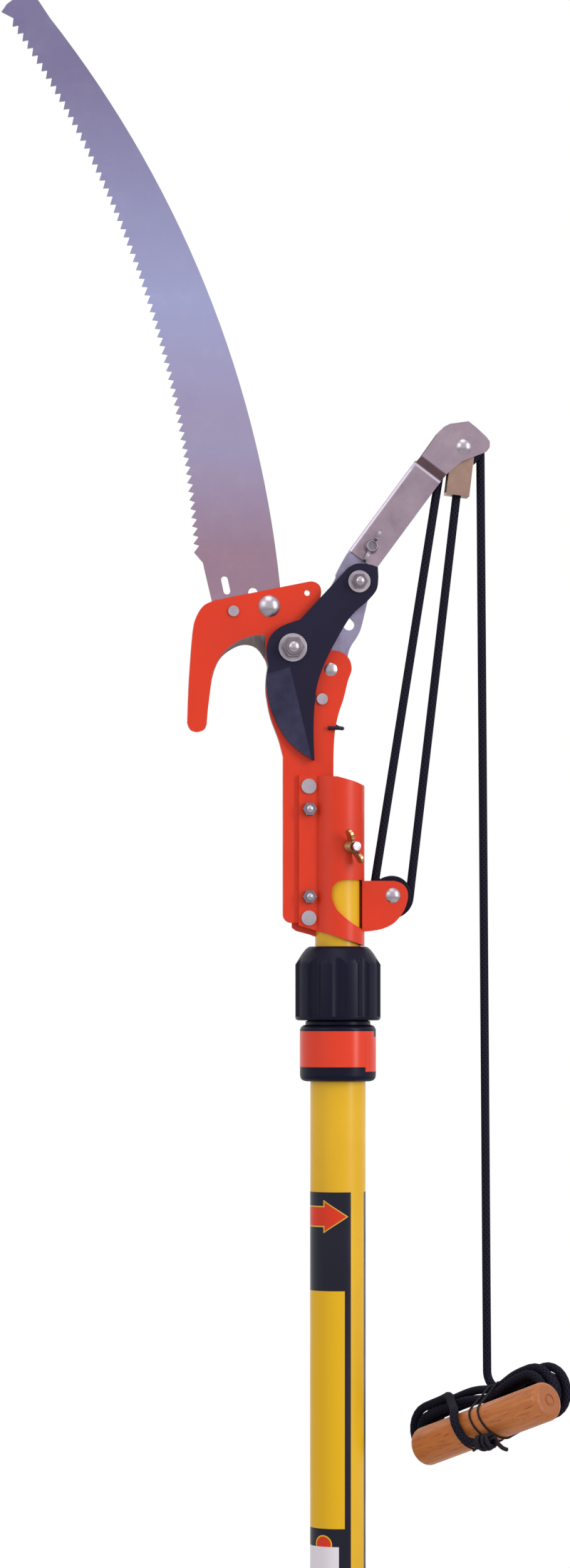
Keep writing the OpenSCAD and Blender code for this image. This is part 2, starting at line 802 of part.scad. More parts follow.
// Channel arm: folded sheet, spread at its end into two cheeks for the upper sheave
CHEEK = [[arm_len - 4.9, 0.1 - arm_w / 2], [69, -8.2], [86, -8.5], [90, -8], [93.6, -6.2], [101.3, 1.6],
    [101.2, 7], [100.4, 15], [99.4, 18.4], [96.6, 20.4], [93.6, 20.4], [91.2, 19], [80, 12.2], [69, 9.6],
    [arm_len - 4.9, arm_w / 2 - 0.1]];

// Turns a shape whose X runs along the arm and Y across it into place
module arm_frame() {
    up()
        translate([ARM_AT[0], 0, ARM_AT[1]])
            rotate([0, ARM_TURN - 90, 0])
                rotate([90, 0, 0])
                    mirror([0, 1, 0])
                        children();
}

module channel_section() {
    half = lever_t / 2 + arm_t;
    bend = 1.8;
    difference() {
        union() {
            translate([bend - arm_w / 2, -half])
                square([arm_w - bend, 2 * half]);
            translate([-arm_w / 2, bend - half])
                square([arm_w / 2, 2 * half - 2 * bend]);
            for (s = [-1, 1])
                translate([bend - arm_w / 2, s * (half - bend)])
                    circle(bend);
        }
        translate([arm_t - arm_w / 2, -lever_t / 2])
            square([arm_w, lever_t]);
    }
}

// One side of the arm seen from its edge: leg, jog and cheek
module cheek_side(s, leg, out, jog) {
    bend = arm_len - 0.8;
    polygon([[arm_len - 5, s * leg], [arm_len, s * leg], [arm_len + jog, s * out], [110, s * out],
        [110, s * (out + arm_t)], [bend + jog, s * (out + arm_t)], [bend, s * (leg + arm_t)],
        [arm_len - 5, s * (leg + arm_t)]]);
}

module channel_arm() {
    leg = lever_t / 2;
    out = cheek_gap / 2;
    jog = 4.2;
    color("lightsteelblue")
        difference() {
            union() {
                arm_frame()
                    rotate([90, 0, 90])
                        linear_extrude(arm_len)
                            channel_section();
                for (s = [-1, 1])
                    intersection() {
                        arm_frame()
                            translate([0, 0, -20])
                                linear_extrude(40)
                                    polygon(CHEEK);
                        arm_frame()
                            translate([0, 30, 0])
                                rotate([90, 0, 0])
                                    linear_extrude(60)
                                        cheek_side(s, leg, out, jog);
                    }
            }
            up()
                ybar(UP, -20, 20, axle_r);
            up()
                ybar(on_arm(ARM_BOLT), -20, 20, 2.5);
            up()
                translate([UP_LEFT[0], 0, UP_LEFT[1]])
                    rotate([0, atan2(RUN[0], RUN[1]), 0])
                        cylinder(r = rope_d / 2 + 0.4, h = 60);
        }
}

module arm_bolt() {
    f = -lever_t / 2 - arm_t;
    p = on_arm(ARM_BOLT);
    color("silver")
        up() {
            ybar(p, f - 4.6, -f, 2.5);
            ydome(p, -f, 5.2, 2.4, 1);
        }
}

module arm_wing_nut() {
    p = on_arm(ARM_BOLT);
    color("silver")
        up()
            translate([p[0], -lever_t / 2 - arm_t - side_gap, p[1]])
                rotate([90, 0, 0])
                    rotate([0, 0, 62])
                        wing_nut(2.5 + run_clear, 4.2, 5.6, 10.4);
}

module upper_axle() {
    e = cheek_gap / 2 + arm_t;
    color("silver")
        up() {
            ybar(UP, -e, e, axle_r);
            ydome(UP, -e, axle_r + 2, 2, -1);
            ydome(UP, e, axle_r + 2, 2, 1);
        }
}

// Becket: folded strap that hangs on the upper axle and holds the rope's end
BECKET_TURN = 6.8;
BECKET_LEN = 28;
becket_in = sheave_half + (cheek_gap / 2 - sheave_half - becket_t) / 2;
ROPE_HOLE = UP - (BECKET_LEN - becket_t / 2) * [sin(BECKET_TURN), cos(BECKET_TURN)];

module becket() {
    color("rosybrown")
        up()
            translate([UP[0], 0, UP[1]])
                rotate([0, BECKET_TURN, 0])
                    difference() {
                        union() {
                            for (y = [-becket_in - becket_t, becket_in])
                                plate(y, y + becket_t)
                                    union() {
                                        circle(6.8);
                                        translate([-6.8, -BECKET_LEN])
                                            square([13.6, BECKET_LEN]);
                                    }
                            translate([-6.8, -becket_in - becket_t, -BECKET_LEN])
                                cube([13.6, 2 * (becket_in + becket_t), becket_t]);
                        }
                        ybar([0, 0], -20, 20, axle_r + run_clear);
                        translate([0, 0, -BECKET_LEN - 5])
                            cylinder(r = rope_d / 2 + 0.3, h = 10);
                    }
}

knot_r = (becket_in - 0.3) / 2;

module becket_knot() {
    color("black")
        up()
            translate([ROPE_HOLE[0], 0, ROPE_HOLE[1]])
                rotate([0, BECKET_TURN, 0])
                    union() {
                        translate([0, 0, becket_t / 2 + 0.4 + knot_r])
                            rotate_extrude()
                                translate([knot_r + 0.1, 0])
                                    circle(knot_r);
                        translate([0, 0, becket_t / 2 + 0.6])
                            cylinder(r = knot_r + 0.1, h = 3 * knot_r);
                        translate([0, 0, becket_t / 2 + 0.4 + 2.6 * knot_r])
                            rotate_extrude()
                                translate([knot_r - 0.1, 0])
                                    circle(knot_r - 0.2);
                    }
}

// Saw blade: both edges are arcs, and the teeth lean towards the pole
SAW_HEEL = [-83.65, 304.15];
SAW_TOE = [-190.73, 609.07];
SAW_IN_R = 599;
BACK_HEEL = [-34.02, 286.98];
BACK_TOE = [-166.84, 610.85];
SAW_OUT_R = 623.6;
function arc_centre(a, b, r) = (a + b) / 2
    + sqrt(r * r - pow(norm(b - a) / 2, 2)) * unit([a[1] - b[1], b[0] - a[0]]);
function turn_of(p, c) = atan2(p[1] - c[1], p[0] - c[0]);
SAW_IN = arc_centre(SAW_HEEL, SAW_TOE, SAW_IN_R);
SAW_FROM = turn_of(SAW_HEEL, SAW_IN);
SAW_TO = turn_of(SAW_TOE, SAW_IN);
SAW_OUT = arc_centre(BACK_HEEL, BACK_TOE, SAW_OUT_R);

module saw_blade() {
    step = (SAW_TO - SAW_FROM) / saw_teeth;
    edge = [for (k = [0 : saw_teeth - 1]) for (h = [0, 1])
        let (a = SAW_TO - (k + (h == 0 ? 0.12 : 0.86)) * step, r = SAW_IN_R + (h == 0 ? tooth_depth : 0))
            SAW_IN + r * [cos(a), sin(a)]];
    color("lightgray")
        up()
            difference() {
                plate(plate_back, plate_back + saw_t)
                    difference() {
                        polygon(concat([[-182.6, 623.2], [-187.4, 621.4], [-191.6, 618.2], [-194.6, 613.8]],
                            edge, [[-78.6, 299], [-71.4, 268], [-67.6, 262], [-44, 259.4], [-36, 262],
                                [-33.2, 274]],
                            arc2(SAW_OUT, SAW_OUT_R, turn_of(BACK_HEEL, SAW_OUT),
                                turn_of(BACK_TOE, SAW_OUT), 30),
                            [[-173.4, 620.6], [-176.4, 622.8]]));
                        for (s = [0 : 2])
                            translate(SAW_PIN + [-4.1, 15.1] + (s - 1) * 3.3 * [-sin(12), cos(12)])
                                circle(2);
                        translate(SAW_PIN + [-4.1, 15.1])
                            rotate(12)
                                square([4, 6.6], center = true);
                        translate([-49.6, 282])
                            circle(2.75);
                    }
                ybar(SAW_AT, -20, 20, 3);
                ybar(SAW_PIN, -20, 20, 2);
            }
}

module saw_bolt() {
    b = plate_back + saw_t + washer_t;
    color("silver")
        up() {
            ydome(SAW_AT, plate_front, 6.3, 3, -1);
            ybar(SAW_AT, plate_front, plate_back + saw_t, 3);
            ybar(SAW_AT, plate_back + saw_t, b + 8.6, 2.8);
        }
}

module saw_washer() {
    b = plate_back + saw_t;
    color("silver")
        up()
            difference() {
                ybar(SAW_AT, b, b + washer_t, 7);
                ybar(SAW_AT, b - 1, b + washer_t + 1, 2.8);
            }
}

module saw_wing_nut() {
    color("silver")
        up()
            translate([SAW_AT[0], plate_back + saw_t + washer_t + side_gap, SAW_AT[1]])
                rotate([-90, 0, 0])
                    rotate([0, 0, 30])
                        wing_nut(2.8 + run_clear, 4.8, 6, 12);
}

module saw_pin() {
    color("silver")
        up() {
            ybar(SAW_PIN, plate_front - 1, plate_front, 3.1);
            ybar(SAW_PIN, plate_front, plate_back + saw_t, 2);
            ydome(SAW_PIN, plate_back + saw_t, 3.4, 1.6, 1);
        }
}

// Rope of the tackle: becket, lower sheave, upper sheave, then the fall
RUN = unit(LO - UP);
LEFT = [RUN[1], -RUN[0]];
BECKET_FAR = norm(LO - ROPE_HOLE);
FAR_TURN = atan2(ROPE_HOLE[1] - LO[1], ROPE_HOLE[0] - LO[0]) - acos(pitch_r / BECKET_FAR);
LOW_RIGHT = LO + pitch_r * [cos(FAR_TURN), sin(FAR_TURN)];
LOW_LEFT = LO + pitch_r * LEFT;
UP_LEFT = UP + pitch_r * LEFT;
LEFT_TURN = atan2(LEFT[1], LEFT[0]);
rope_cut = 0.4;
function deep(p) = [p[0], 0, p[1]];
function straight(a, b, n) = [for (k = [0 : n]) deep(a + (b - a) * k / n)];
function wrap(c, a0, a1, n) = [for (p = arc2(c, pitch_r, a0, a1, n)) deep(p)];

module rope_becket_run() {
    color("black")
        up()
            tube(straight(ROPE_HOLE, LOW_RIGHT - rope_cut * unit(LOW_RIGHT - ROPE_HOLE), 18), rope_d / 2, 8);
}

module rope_lower_wrap() {
    color("black")
        up()
            tube(wrap(LO, FAR_TURN, LEFT_TURN - 360, 14), rope_d / 2, 8);
}

module rope_lead_run() {
    color("black")
        up()
            tube(straight(LOW_LEFT - rope_cut * RUN, UP_LEFT + rope_cut * RUN, 20), rope_d / 2, 8);
}

module rope_upper_wrap() {
    color("black")
        up()
            tube(wrap(UP, LEFT_TURN, 0, 14), rope_d / 2, 8);
}

// Frame of the handle: X along it with the right end towards the front, Y behind it, Z up
HANDLE_AT = [81.6, -30, -196.5];
HANDLE_TILT = 18.8;
HANDLE_YAW = 51.7;
HX = [cos(HANDLE_TILT) * cos(HANDLE_YAW), -cos(HANDLE_TILT) * sin(HANDLE_YAW), sin(HANDLE_TILT)];
HY = [sin(HANDLE_YAW), cos(HANDLE_YAW), 0];
HZ = [-sin(HANDLE_TILT) * cos(HANDLE_YAW), sin(HANDLE_TILT) * sin(HANDLE_YAW), cos(HANDLE_TILT)];
function by_handle(p) = HANDLE_AT + p[0] * HX + p[1] * HY + p[2] * HZ;

module handle_frame() {
    up()
        translate(HANDLE_AT)
            rotate([0, -HANDLE_TILT, -HANDLE_YAW])
                children();
}

// Hank: long loops in four layers, drawn in at the waist where the string ties them
hank_step = rope_d + 0.6;
hank_layer = rope_d + 0.6;
HANK_AT = [-15, handle_d / 2 + rope_d / 2 + 0.5 + 1.5 * hank_layer, 10.5];
hank_run = 82;
hank_small = 7;
hank_wide_out = hank_small + 1.5 * hank_step;
waist_in = 4.2;
HANK_PART = 24;

// A point of a loop: way is 0 to 1 round it from the right end of the top run, wide its half width
function loop_at(way, wide) =
    let (run = hank_run / (2 * hank_run + 2 * PI * 13), fold = 0.5 - run)
        way < fold ? [hank_run / 2 + wide * sin(180 * way / fold), wide * cos(180 * way / fold)]
        : way < 0.5 ? [hank_run / 2 - hank_run * (way - fold) / run, -wide]
        : way < 0.5 + fold ? [-hank_run / 2 - wide * sin(180 * (way - 0.5) / fold),
            -wide * cos(180 * (way - 0.5) / fold)]
        : [-hank_run / 2 + hank_run * (way - 0.5 - fold) / run, wide];
function waist(x) = waist_in * exp(-pow((x - 10) / 14, 2));

// Layer number with the climb spread over a run, and half width that goes in and out again
function eased(t) = t < 0 ? 0 : t > 1 ? 1 : t * t * (3 - 2 * t);
function hank_level(s) = eased((s - 1.18) / 0.3) + eased((s - 2.68) / 0.3) + eased((s - 4.18) / 0.3);
function hank_wide(s) = let (m = s + 0.17 - 3 * floor((s + 0.17) / 3)) hank_small + hank_step * abs(1.5 - m);
function hank_at(s) =
    let (w = s - floor(s), q = loop_at(w, hank_wide(s)))
        HANK_AT + [q[0], (1.5 - hank_level(s)) * hank_layer, q[1] - sign(q[1]) * waist(q[0])];
HANK_FROM = -0.1375;
HANK_TO = 5.72;
hank_rings = round((HANK_TO - HANK_FROM) * HANK_PART);
HANK_FLAT = [for (k = [0 : hank_rings]) hank_at(HANK_FROM + (HANK_TO - HANK_FROM) * k / hank_rings)];
HANK = [for (p = HANK_FLAT) by_handle(p)];
hank_gap = min([for (i = [0 : len(HANK) - 10]) for (j = [i + 9 : len(HANK) - 1])
    norm(HANK[i] - HANK[j])]) - rope_d;
echo(hank_gap = hank_gap);
HANK_START = HANK_FLAT[0];
HANK_STOP = HANK_FLAT[len(HANK_FLAT) - 1];

// The fall comes down from the upper sheave and bends into the hank's first run
LEAD_R = 10;
LEAD_TURN = 180 - HANDLE_TILT;
LEAD_IN = [for (k = [0 : 6]) let (a = LEAD_TURN + (270 - LEAD_TURN) * k / 6)
    by_handle(HANK_START + LEAD_R * [cos(a), 0, 1 + sin(a)])];
FALL_TOP = deep(UP + [pitch_r, -rope_cut]);
FALL_STEPS = 40;
FALL = concat([for (k = [0 : FALL_STEPS - 1]) FALL_TOP + (LEAD_IN[0] - FALL_TOP) * k / FALL_STEPS], LEAD_IN);

// The tail crosses over the hank to the handle's front and ends in a knot
front_y = -handle_d / 2 - rope_d / 2 - 0.4;
TAIL_WAY = [[4.4, -0.4, 0.3], [8.6, -2.5, 0.1], [13.4, -6.3, -1.8], [18.2, -11.3, -5.8]];
TAIL_ON = [[-18.3, front_y + 11.2, 15], [-13.9, front_y + 6.2, 12], [-11.4, front_y + 2.2, 8],
    [-9.4, front_y, 3], [-7, front_y, -4], [-3, front_y, -8.2], [2.9, front_y + 0.6, -11]];
TAIL_KEYS = concat([HANK_STOP], [for (p = TAIL_WAY) HANK_STOP + p], TAIL_ON);
TAIL_FLAT = curve(TAIL_KEYS, 2);
tail_gap = min([for (i = [3 : len(TAIL_FLAT) - 1]) for (q = [for (k = [0 : len(HANK_FLAT) - 8]) HANK_FLAT[k]])
    norm(TAIL_FLAT[i] - q)]) - rope_d;
echo(tail_gap = tail_gap);
KNOT_AT = [9.6, front_y + 0.8, -12.2];
spring_gap = min([for (i = [0 : len(SPRING) - 7]) for (j = [i + 6 : len(SPRING) - 1])
    norm(SPRING[i] - SPRING[j])]) - spring_wire;
echo(spring_gap = spring_gap);

module rope_hank() {
    color("black")
        up()
            tube(HANK, rope_d / 2, 6);
}

module rope_fall() {
    color("black")
        up()
            tube(FALL, rope_d / 2, 8);
}

module rope_tail() {
    color("black")
        up()
            tube([for (p = TAIL_FLAT) by_handle(p)], rope_d / 2, 8);
}

module rope_knot() {
    color("black")
        handle_frame()
            translate(KNOT_AT)
                rotate([0, 90, 0]) {
                    for (x = [-2.2, 2.2])
                        translate([0, 0, x])
                            rotate_extrude()
                                translate([2.6, 0])
                                    circle(2.3);
                    translate([0, 0, -5])
                        cylinder(r = 2.4, h = 10);
                    translate([3.8, 0, -8])
                        cylinder(r = 1.5, h = 8);
                    translate([1.6, 0, 0])
                        rotate([0, 18, 0])
                            cylinder(r = 0.9, h = 16);
                }
}

// Two turns of thin string round the handle and the hank
tie_r = 0.6;
tie_on = handle_d / 2 + tie_r + 0.4;
tie_in = hank_wide_out - 0.85 * waist_in + rope_d / 2 + tie_r + 0.4;
tie_top = HANK_AT[2] + tie_in;
tie_low = HANK_AT[2] - tie_in - 0.8;
tie_back = HANK_AT[1] + 1.5 * hank_layer + rope_d / 2 + tie_r + 0.9;
tie_face = HANK_AT[1] - 1.5 * hank_layer - rope_d / 2;
TIE = concat([for (a = [-115 : 20 : 65]) tie_on * [-cos(a), sin(a)]],
    [[tie_face + 1.6, tie_top - 0.5], [tie_face + 5, tie_top], [tie_back - 6, tie_top],
        [tie_back - 1.2, tie_top - 1], [tie_back, tie_top - 4], [tie_back, tie_low + 4],
        [tie_back - 1.2, tie_low + 1], [tie_back - 6, tie_low], [tie_face + 3, tie_low]]);

module hank_ties() {
    color("black")
        up()
            for (w = [[1.6, -0.42], [8.6, -0.42]])
                ring_tube([for (q = TIE) by_handle([w[0] + w[1] * q[1], q[0], q[1]])], tie_r, 6);
}

module pull_handle() {
    r = handle_d / 2;
    c = handle_round;
    color("sandybrown")
        handle_frame()
            translate([-handle_len / 2, 0, 0])
                rotate([0, 90, 0])
                    difference() {
                        rotate_extrude()
                            union() {
                                square([r - c, handle_len]);
                                translate([0, c])
                                    square([r, handle_len - 2 * c]);
                                translate([r - c, c])
                                    circle(c);
                                translate([r - c, handle_len - c])
                                    circle(c);
                            }
                        for (z = [0, handle_len])
                            translate([0, 0, z])
                                rotate_extrude()
                                    translate([3, 0])
                                        circle(0.7);
                    }
}

outer_pole();
butt_plug();
collar_body();
collet();
collar_nut();
inner_pole();
inner_bushing();
head_plate();
sleeve();
sleeve_rivets();
sleeve_bolts();
sleeve_nuts();
clamp_bolt();
clamp_wing_nut();
lower_axle();
lower_sheave();
cutting_blade();
pivot_bolt();
pivot_washer();
pivot_nut();
drive_bolt();
drive_washer();
drive_nut();
lever_plate();
lever_rivet();
stop_rivet();
return_spring();
channel_arm();
arm_bolt();
arm_wing_nut();
upper_axle();
upper_sheave();
becket();
becket_knot();
saw_blade();
saw_bolt();
saw_washer();
saw_wing_nut();
saw_pin();
rope_becket_run();
rope_lower_wrap();
rope_lead_run();
rope_upper_wrap();
rope_fall();
rope_hank();
rope_tail();
rope_knot();
pull_handle();
hank_ties();
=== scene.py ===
import json
import math

import bpy
from mathutils import Euler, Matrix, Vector

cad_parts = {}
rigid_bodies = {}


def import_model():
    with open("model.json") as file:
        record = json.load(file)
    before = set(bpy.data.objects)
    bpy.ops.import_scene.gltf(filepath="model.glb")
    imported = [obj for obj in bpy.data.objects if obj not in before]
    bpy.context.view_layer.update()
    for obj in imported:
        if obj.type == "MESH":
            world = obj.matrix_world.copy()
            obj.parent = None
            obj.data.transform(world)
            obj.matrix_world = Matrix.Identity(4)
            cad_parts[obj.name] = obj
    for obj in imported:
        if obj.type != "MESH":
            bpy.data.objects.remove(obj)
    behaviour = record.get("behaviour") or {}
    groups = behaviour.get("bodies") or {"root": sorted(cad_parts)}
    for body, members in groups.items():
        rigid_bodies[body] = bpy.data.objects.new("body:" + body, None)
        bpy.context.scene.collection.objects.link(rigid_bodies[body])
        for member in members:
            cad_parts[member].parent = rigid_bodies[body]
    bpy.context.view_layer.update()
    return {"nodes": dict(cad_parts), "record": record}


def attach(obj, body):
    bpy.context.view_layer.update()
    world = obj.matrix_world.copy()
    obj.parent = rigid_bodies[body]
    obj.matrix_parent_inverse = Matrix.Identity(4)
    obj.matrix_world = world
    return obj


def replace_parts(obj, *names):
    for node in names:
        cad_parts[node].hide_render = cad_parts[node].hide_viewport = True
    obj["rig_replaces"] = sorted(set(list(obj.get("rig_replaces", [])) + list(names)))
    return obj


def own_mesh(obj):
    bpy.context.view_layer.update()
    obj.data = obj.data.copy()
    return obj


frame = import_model()

MM = 0.001
COLLAR_Z = 1.5
BODY_OF = {n: b for b, ns in frame["record"]["behaviour"]["bodies"].items() for n in ns}
SLOT_OF = {p["node"]: p["material_slot"] for p in frame["record"]["subparts"]}


def at(x, y, z):
    """A point in millimetres, with its height above the collar's lower edge, in metres."""
    return Vector((x * MM, y * MM, COLLAR_Z + z * MM))


def clear():
    """Leave nothing selected."""
    bpy.ops.object.select_all(action="DESELECT")


def finished(piece, body, nodes=()):
    """Give a piece its body and the solids it stands for."""
    if nodes:
        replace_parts(piece, *nodes)
    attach(piece, body)
    return piece


# Camera: level, a little to the left of the head's face, framed by lens shift.
VIEW_TURN = math.radians(6)
VIEW_FAR = 2.6
FRAME_HIGH = 0.906
FRAME_MID = 1.6718
SENSOR = 36
AIM = Vector((-0.0308, 0.0, 1.54))
cam_data = bpy.data.cameras.new("photo_view")
cam_data.sensor_fit = "VERTICAL"
cam_data.sensor_height = SENSOR
cam_data.lens = SENSOR * VIEW_FAR / FRAME_HIGH
cam_data.shift_y = (FRAME_MID - AIM.z) / FRAME_HIGH
cam_data.clip_end = 50
camera = bpy.data.objects.new("photo_view", cam_data)
bpy.context.scene.collection.objects.link(camera)
camera.location = AIM + VIEW_FAR * Vector((-math.sin(VIEW_TURN), -math.cos(VIEW_TURN), 0))
camera.rotation_euler = (math.radians(90), 0, -VIEW_TURN)
bpy.context.scene.camera = camera


# Short ways to wire shader nodes.
def noise(tree, vector, scale, detail=3.0, rough=0.55):
    """Cloudy noise between 0 and 1."""
    node = tree.nodes.new("ShaderNodeTexNoise")
    node.inputs["Detail"].default_value = detail
    node.inputs["Roughness"].default_value = rough
    if isinstance(scale, (int, float)):
        node.inputs["Scale"].default_value = scale
    else:
        tree.links.new(scale, node.inputs["Scale"])
    tree.links.new(vector, node.inputs["Vector"])
    return node.outputs["Fac"]


def maths(tree, kind, a, b=None):
    """One sum on numbers or sockets."""
    node = tree.nodes.new("ShaderNodeMath")
    node.operation = kind
    for i, value in enumerate((a, b)):
        if value is None:
            continue
        if isinstance(value, (int, float)):
            node.inputs[i].default_value = value
        else:
            tree.links.new(value, node.inputs[i])
    return node.outputs[0]


def times(tree, *values):
    """The product of all values."""
    whole = values[0]
    for value in values[1:]:
        whole = maths(tree, "MULTIPLY", whole, value)
    return whole


def distance(tree, a, b, centre):
    """How far a flat point lies from a centre."""
    off_a = maths(tree, "SUBTRACT", a, centre[0])
    off_b = maths(tree, "SUBTRACT", b, centre[1])
    return maths(tree, "SQRT", maths(tree, "ADD", times(tree, off_a, off_a), times(tree, off_b, off_b)))


def spread(tree, value, low, high, to_low=0.0, to_high=1.0):
    """A value moved from one range to another and held there."""
    node = tree.nodes.new("ShaderNodeMapRange")
    node.clamp = True
    for label, v in (("From Min", low), ("From Max", high), ("To Min", to_low), ("To Max", to_high)):
        node.inputs[label].default_value = v
    tree.links.new(value, node.inputs["Value"])
    return node.outputs["Result"]


def object_place(tree):
    """The place on the object, in metres."""
    return tree.nodes.new("ShaderNodeTexCoord").outputs["Object"]


def placed(tree, location, rotation):
    """The place on the object, seen from a frame of its own."""
    node = tree.nodes.new("ShaderNodeMapping")
    node.vector_type = "TEXTURE"
    node.inputs["Location"].default_value = location
    node.inputs["Rotation"].default_value = rotation
    tree.links.new(object_place(tree), node.inputs["Vector"])
    return node.outputs["Vector"]


def scaled(tree, vector, factors):
    """A vector with a factor for each axis."""
    node = tree.nodes.new("ShaderNodeVectorMath")
    node.operation = "MULTIPLY"
    node.inputs[1].default_value = factors
    tree.links.new(vector, node.inputs[0])
    return node.outputs[0]


def axes(tree, vector):
    """The X, Y and Z of a vector."""
    node = tree.nodes.new("ShaderNodeSeparateXYZ")
    tree.links.new(vector, node.inputs[0])
    return node.outputs["X"], node.outputs["Y"], node.outputs["Z"]


LAY_MAP = "lay"


def lay(tree, strands, rise):
    """Angles of strands round a tube and along it, from its UV map."""
    node = tree.nodes.new("ShaderNodeUVMap")
    node.uv_map = LAY_MAP
    x, y, _ = axes(tree, node.outputs["UV"])
    return times(tree, x, strands * math.tau), times(tree, y, rise * math.tau)


# Surface effects that several finishes share.
COAT_FINE = 900.0
COAT_BROAD = 22.0
COAT_DEPTH = 0.0004
LINE_ALONG = 6.0
LINE_ACROSS = 900.0
LINE_BUMP = 0.06
LINE_DEPTH = 0.0003


def effect_group(name, inputs, outputs):
    """A node group of plain numbers, with its way in and its way out."""
    group = bpy.data.node_groups.new(name, "ShaderNodeTree")
    for label, value in inputs:
        socket = group.interface.new_socket(label, in_out="INPUT", socket_type="NodeSocketFloat")
        socket.default_value = value
    for label in outputs:
        group.interface.new_socket(label, in_out="OUTPUT", socket_type="NodeSocketFloat")
    return group, group.nodes.new("NodeGroupInput"), group.nodes.new("NodeGroupOutput")


def make_skin():
    """Fine orange-peel, broad cloudiness and small rubs of a coat."""
    group, g_in, g_out = effect_group("coat_skin", [("Fine", COAT_FINE), ("Broad", COAT_BROAD)],
                                      ["Peel", "Cloud", "Rub"])
    place = object_place(group)
    group.links.new(noise(group, place, g_in.outputs["Fine"], 2), g_out.inputs["Peel"])
    cloud = noise(group, place, g_in.outputs["Broad"], 5)
    group.links.new(spread(group, cloud, 0.3, 0.7), g_out.inputs["Cloud"])
    specks = spread(group, noise(group, place, 160.0, 6, 0.7), 0.62, 0.72)
    group.links.new(times(group, specks, cloud), g_out.inputs["Rub"])
    return group


def make_lines():
    """Drawn or ground lines that run along one axis."""
    group, g_in, g_out = effect_group("drawn_lines",
                                      [("Along", LINE_ALONG), ("Across", LINE_ACROSS), ("Turn", 0.0)],
                                      ["Lines", "Blotch"])
    place = object_place(group)
    turn = group.nodes.new("ShaderNodeVectorRotate")
    turn.rotation_type = "Y_AXIS"
    group.links.new(place, turn.inputs["Vector"])
    group.links.new(g_in.outputs["Turn"], turn.inputs["Angle"])
    join = group.nodes.new("ShaderNodeCombineXYZ")
    for way, value, factor in zip("XYZ", axes(group, turn.outputs["Vector"]), ("Across", "Across", "Along")):
        group.links.new(times(group, value, g_in.outputs[factor]), join.inputs[way])
    group.links.new(noise(group, join.outputs[0], 1.0, 3), g_out.inputs["Lines"])
    blotch = noise(group, place, 70.0, 6, 0.62)
    group.links.new(spread(group, blotch, 0.34, 0.68), g_out.inputs["Blotch"])
    return group


SKIN = make_skin()
LINES = make_lines()


class Finish:
    """A material with one Principled shader and short ways to wire it."""

    def __init__(self, name, rough=0.5, metal=0.0, **fixed):
        self.mat = bpy.data.materials.new(name)
        self.mat.use_nodes = True
        self.tree = self.mat.node_tree
        self.shader = self.tree.nodes["Principled BSDF"]
        self.shader.inputs["Roughness"].default_value = rough
        self.shader.inputs["Metallic"].default_value = metal
        for label, value in fixed.items():
            self.shader.inputs[label.replace("_", " ")].default_value = value

    def effect(self, group, **values):
        node = self.tree.nodes.new("ShaderNodeGroup")
        node.node_tree = group
        for label, value in values.items():
            node.inputs[label].default_value = value
        return node

    def mix(self, factor, a, b):
        node = self.tree.nodes.new("ShaderNodeMix")
        node.data_type = "RGBA"
        self.tree.links.new(factor, node.inputs["Factor"])
        for value, socket in ((a, node.inputs[6]), (b, node.inputs[7])):
            if isinstance(value, tuple):
                socket.default_value = (*value, 1)
            else:
                self.tree.links.new(value, socket)
        return node.outputs[2]

    def base(self, colour):
        self.tree.links.new(colour, self.shader.inputs["Base Color"])

    def rough(self, value, low, high):
        self.tree.links.new(spread(self.tree, value, 0.2, 0.8, low, high), self.shader.inputs["Roughness"])

    def bump(self, height, strength, depth):
        node = self.tree.nodes.new("ShaderNodeBump")
        node.inputs["Strength"].default_value = strength
        node.inputs["Distance"].default_value = depth
        self.tree.links.new(height, node.inputs["Height"])
        self.tree.links.new(node.outputs["Normal"], self.shader.inputs["Normal"])


def coated(name, colour, shade, worn, low, high, peel=0.05, fine=COAT_FINE, **fixed):
    """A painted, moulded or powder-coated surface."""
    f = Finish(name, **fixed)
    skin = f.effect(SKIN, Fine=fine, Broad=COAT_BROAD)
    f.base(f.mix(skin.outputs["Rub"], f.mix(skin.outputs["Cloud"], colour, shade), worn))
    f.rough(skin.outputs["Cloud"], low, high)
    f.bump(skin.outputs["Peel"], peel, COAT_DEPTH)
    return f


def plated(name, light, dark, low, high, along=LINE_ALONG):
    """Bare or plated steel with drawn lines and blotches."""
    f = Finish(name, metal=1.0)
    lines = f.effect(LINES, Along=along, Across=LINE_ACROSS, Turn=0.0)
    f.base(f.mix(lines.outputs["Blotch"], light, dark))
    f.rough(lines.outputs["Blotch"], low, high)
    f.bump(lines.outputs["Lines"], LINE_BUMP, LINE_DEPTH)
    return f


YELLOW = coated("pole_yellow", (0.75, 0.425, 0.010), (0.68, 0.375, 0.009), (0.58, 0.33, 0.02), 0.28, 0.40,
                Specular_IOR_Level=0.35)
BLACK = coated("collar_black", (0.004, 0.004, 0.016), (0.006, 0.005, 0.020), (0.018, 0.016, 0.034),
               0.34, 0.48, peel=0.12, fine=1400.0, Specular_IOR_Level=0.12)
STEEL_BLACK = coated("blade_black", (0.010, 0.008, 0.018), (0.014, 0.012, 0.026), (0.045, 0.04, 0.06),
                     0.32, 0.50, peel=0.06, Specular_IOR_Level=0.18)
ZINC = plated("zinc_plate", (0.47, 0.42, 0.47), (0.31, 0.27, 0.32), 0.26, 0.44)
BRASS = plated("brass_plate", (0.53, 0.37, 0.17), (0.37, 0.26, 0.125), 0.28, 0.45)
STRAP = plated("strap_steel", (0.36, 0.235, 0.19), (0.25, 0.155, 0.125), 0.32, 0.5, along=60.0)
ZINC_DARK = plated("zinc_bolt", (0.25, 0.22, 0.26), (0.14, 0.12, 0.15), 0.18, 0.34)
